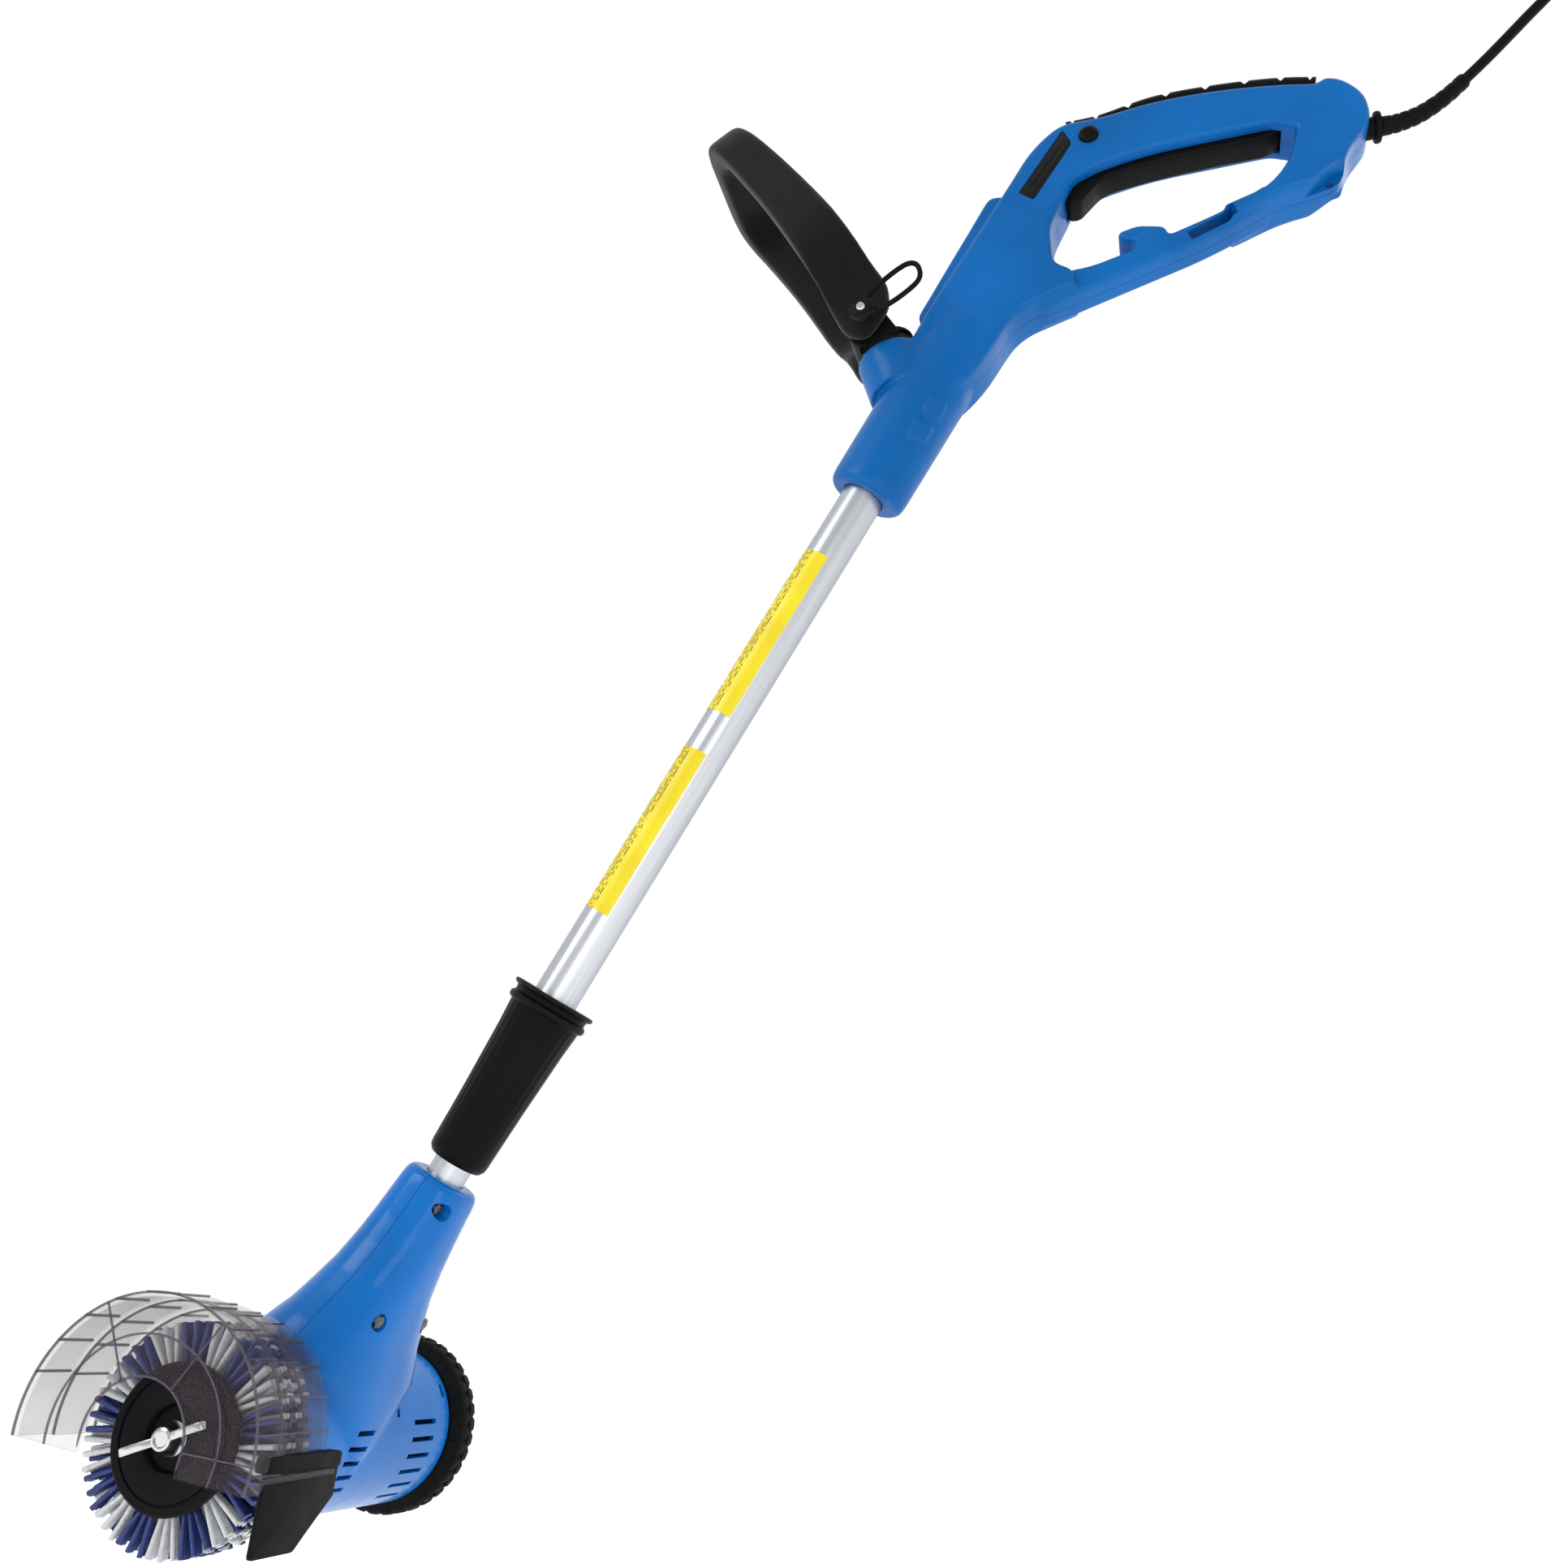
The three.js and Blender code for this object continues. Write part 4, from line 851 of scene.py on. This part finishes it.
def make_brush():
    hub = [(5.3, 64), (27, 64), (28, 64.6), (29.5, 66), (29.5, 95.8), (33.2, 96), (34, 96.6),
           (34, 99.2), (33.4, 99.9), (32.4, 100), (29.5, 100), (29.2, 99.2), (28.4, 99.2), (28.1, 100),
           (17, 100), (15.4, 99.4), (14, 97), (5.3, 97)]
    piece("hub", spun(hub, 96), "hub_plastic", "brush", "brush_hub")
    dark, pale = [], []
    for row, height in enumerate(TUFT_ROWS):
        for k in range(TUFTS_PER_ROW):
            middle = 2 * math.pi * (k + 0.5 * (row % 2)) / TUFTS_PER_ROW
            strands = pale if (k + row) % 2 else dark
            for s in range(FILAMENTS_PER_TUFT):
                spread = (s % 3 - 1) * 0.5
                shift = (s // 3 - 1) * 0.5
                angle = middle + spread * ROOT_FAN
                tip_angle = middle + spread * TIP_FAN
                wave = math.sin(37.0 * k + 11.0 * s + 5.0 * row)
                tip = BRISTLE_TIP - 0.9 * (0.5 + 0.5 * wave)
                root = Vector((BRISTLE_ROOT * math.cos(angle), -(height + 2.6 * shift),
                               BRISTLE_ROOT * math.sin(angle)))
                end = Vector((tip * math.cos(tip_angle), -(height + 4.6 * shift),
                              tip * math.sin(tip_angle)))
                strands.append(strand(root, end))
    piece("bristles_dark", together(*dark), "bristle", "brush", "bristle_ring", crease=60)
    piece("bristles_pale", together(*pale), "bristle", "brush", crease=60, look=PALE_BRISTLE)
    core = [(0, 97.4), (7.4, 97.4), (8, 98), (8, 100.4), (7.2, 101.4), (6.2, 103.6), (6, 106.5),
            (5.2, 108.6), (4, 109), (3.2, 108), (0, 108)]
    wing = outline([(3, 102.6, 1), (9, 103.2, 3), (22, 104.8, 4), (23.6, 107.4, 3), (21, 110, 4),
                    (9, 109.6, 3), (3, 108, 1)], 6)
    wings = []
    for side in (-1, 1):
        leaf = between([(side * p.x, -p.y, h * 2.0) for h in (-1, 1) for p in wing])
        wings.append(moved(leaf, Matrix.Rotation(-LEAN - math.radians(22), 4, "Y")))
    grip = rounded(together(*wings), 1.3, 4, 60)
    piece("wing_grip", grip, "bright_steel", "brush")
    piece("wing_screw_core", spun(core, 48), "bright_steel", "brush", "wing_screw")


def strand(root, end, radius=1.25, sides=6):
    """One filament, thicker towards its tip."""
    along = (end - root).normalized()
    side = along.cross(Vector((0, 1, 0.01))).normalized()
    up = side.cross(along)
    rings = []
    for t, r in ((0, 0.8), (0.55, 1.0), (1, 1.15)):
        p = root.lerp(end, t)
        rings.append([tuple(p + radius * r * (math.cos(2 * math.pi * k / sides) * side
                                              + math.sin(2 * math.pi * k / sides) * up))
                      for k in range(sides)])
    return skin(rings)


# ---- guard and flap ------------------------------------------------------------------------------
GUARD_STEPS = [(60, 82, 58), (82, 106, 61.5), (106, 130, 64.5)]
GUARD_WALL, GUARD_ARCH, GUARD_BOTTOM = 2, 27, -10
GUARD_FRONT = 130
LEVEL = Matrix.Rotation(math.radians(5) - LEAN, 4, "Y")
UPRIGHT = Matrix.Rotation(-LEAN, 4, "Y")
FLAP_X, FLAP_THICK, FLAP_NEAR, FLAP_FAR = 62.5, 2.4, 55, 116


def flap_shapes(grow=0.0):
    low, high = FLAP_NEAR - grow, FLAP_FAR + grow
    side = outline([(low, -6, 0), (low, -20, 0), (low + 20, -36, 2), (low + 27, -42, 2), (high, -42, 2),
                    (high, -6, 0)], 3)
    sheet = between([(x, -p.x, p.y) for x in (FLAP_X - FLAP_THICK / 2 - grow,
                                              FLAP_X + FLAP_THICK / 2 + grow) for p in side])
    head = block((FLAP_X - 6 - grow, -high, GUARD_BOTTOM + 2.8 - grow),
                 (FLAP_X + 2.5 + grow, -low, GUARD_BOTTOM + 10 + grow))
    return moved(sheet, UPRIGHT), moved(head, UPRIGHT)


def make_guard():
    outside, inside = [], []
    for low, high, r in GUARD_STEPS:
        outside += [(r, low), (r, high)]
        inside = [(r - GUARD_WALL, high + (-GUARD_WALL if high == GUARD_FRONT else GUARD_WALL)),
                  (r - GUARD_WALL, low + GUARD_WALL)] + inside
    hood = draft(spun([*outside, (GUARD_ARCH, GUARD_FRONT), (GUARD_ARCH, GUARD_FRONT - GUARD_WALL),
                       *inside, (22, 62), (22, 60)], 160))
    below = moved(block((-90, -140, -90), (90, -30, GUARD_BOTTOM)), LEVEL)
    archway = moved(block((-GUARD_ARCH, -140, -40), (GUARD_ARCH, -126, 0)), LEVEL)
    carved(hood, below, archway)
    rim = [(56, 60), (65, 60), (70, 130), (61, 130)]
    plate = [(x, -b, GUARD_BOTTOM + h) for h in (0, 2.5) for x, b in rim]
    flange = moved((plate, [(0, 1, 2, 3), (7, 6, 5, 4), (0, 4, 5, 1), (1, 5, 6, 2), (2, 6, 7, 3),
                            (3, 7, 4, 0)]), UPRIGHT)
    tool = draft(flange)
    applied(hood, "BOOLEAN", operation="UNION", object=tool, solver="EXACT")
    bpy.data.objects.remove(tool)
    carved(hood, *flap_shapes(0.3))
    piece("hood", hood, "guard_clear", "head", "guard", crease=30)
    beads = [spun(ring(r - 0.7, r + 0.35, b - 0.5, b + 0.5), 160)
             for r, b in [(64.5, 129.7), (61.5, 106), (58, 82)]]
    beads += [spun(ring(r - 0.5, r + 0.5, 129.8, 130.5), 120) for r in (GUARD_ARCH + 0.6, 46)]
    for k in range(13):
        turn = Matrix.Rotation(math.radians(-4 - k * 15), 4, "Y")
        beads += [moved(block((r - 0.6, -high, -0.45), (r + 0.5, -low, 0.45)), turn)
                  for low, high, r in GUARD_STEPS]
    for angle in (-2, -62, -122):
        beads.append(moved(block((GUARD_ARCH, -130.5, -0.4), (64, -129.8, 0.4)),
                           Matrix.Rotation(math.radians(angle), 4, "Y") @ LEVEL))
    beads = [carved(draft(bead), below, archway) for bead in beads]
    joined = together(*[([tuple(v.co) for v in b.data.vertices],
                         [tuple(f.vertices) for f in b.data.polygons]) for b in beads])
    for bead in beads:
        bpy.data.objects.remove(bead)
    piece("hood_beads", joined, "guard_clear", "head", crease=30, look=BEAD)
    sheet, head = flap_shapes()
    piece("flap_sheet", rounded(sheet, 0.5, 2), "flap_rubber", "head", "flap")
    piece("flap_bead", rounded(head, 1.4, 3), "flap_rubber", "head")


# ---- wheel ---------------------------------------------------------------------------------------
def make_wheel():
    profile = [(42, -103.2), (46.6, -103), (48.2, -103.6), (49.4, -105), (50, -107), (50, -111.2),
               (49.2, -111.6), (49.2, -112.4), (50, -112.8), (50, -117), (49.4, -119), (48.2, -120.4),
               (46.6, -121), (42, -120.8)]
    points, faces = turned(profile, 144)
    lugs = []
    for x, y, z in points:
        r = math.hypot(x, y)
        k = round(math.atan2(y, x) / (2 * math.pi) * 144)
        if r > 48 and k % 4 == (0 if z > -112 else 2):
            r2 = r - 1.3
            x, y = x * r2 / r, y * r2 / r
        lugs.append((x, y, z))
    piece("tyre", moved((lugs, faces), Matrix.Rotation(math.pi / 2, 4, "X")), "tyre_rubber", "wheel",
          "wheel_tyre", crease=28)
    disc = [(4.3, -104), (12, -104), (13.2, -105), (14.6, -108.6), (16, -109), (34.6, -109),
            (36, -108.4), (37.2, -104.4), (38, -104), (41.7, -104), (41.7, -120), (38, -120),
            (37.2, -119.6), (36, -113.6), (34.6, -113), (16, -113), (14.6, -113.4), (13.2, -117),
            (12, -118), (4.3, -118)]
    plate = draft(spun(disc, 96))
    holes = [moved(spun(rod(4.6, -125, -100), 32),
                   Matrix.Rotation(k * math.pi / 3, 4, "Y") @ Matrix.Translation((25.5, 0, 0)))
             for k in range(6)]
    piece("wheel_plate", carved(plate, together(*holes)), "black_plastic", "wheel", "wheel_disc")
    axle = [(0, -121), (6.8, -121), (7.7, -120.6), (8, -119.8), (8, -118.3), (4, -118.3), (4, -95.9),
            (0, -95.9)]
    piece("axle_pin", spun(axle, 48), "bright_steel", "head", "wheel_axle")


make_handle()
make_top_pad()
make_trigger()
make_front_handle()
make_tubes()
make_sleeve()
make_head()
make_brush()
make_guard()
make_wheel()

# ---- CAD nodes that stay shown take the look of their own material slot --------------------------
for part in frame["record"]["subparts"]:
    node = frame["nodes"][part["node"]]
    node.data.materials.clear()
    node.data.materials.append(LOOKS[part["material_slot"]])
    node.data.shade_smooth()
    node.data.set_sharp_from_angle(angle=math.radians(35))
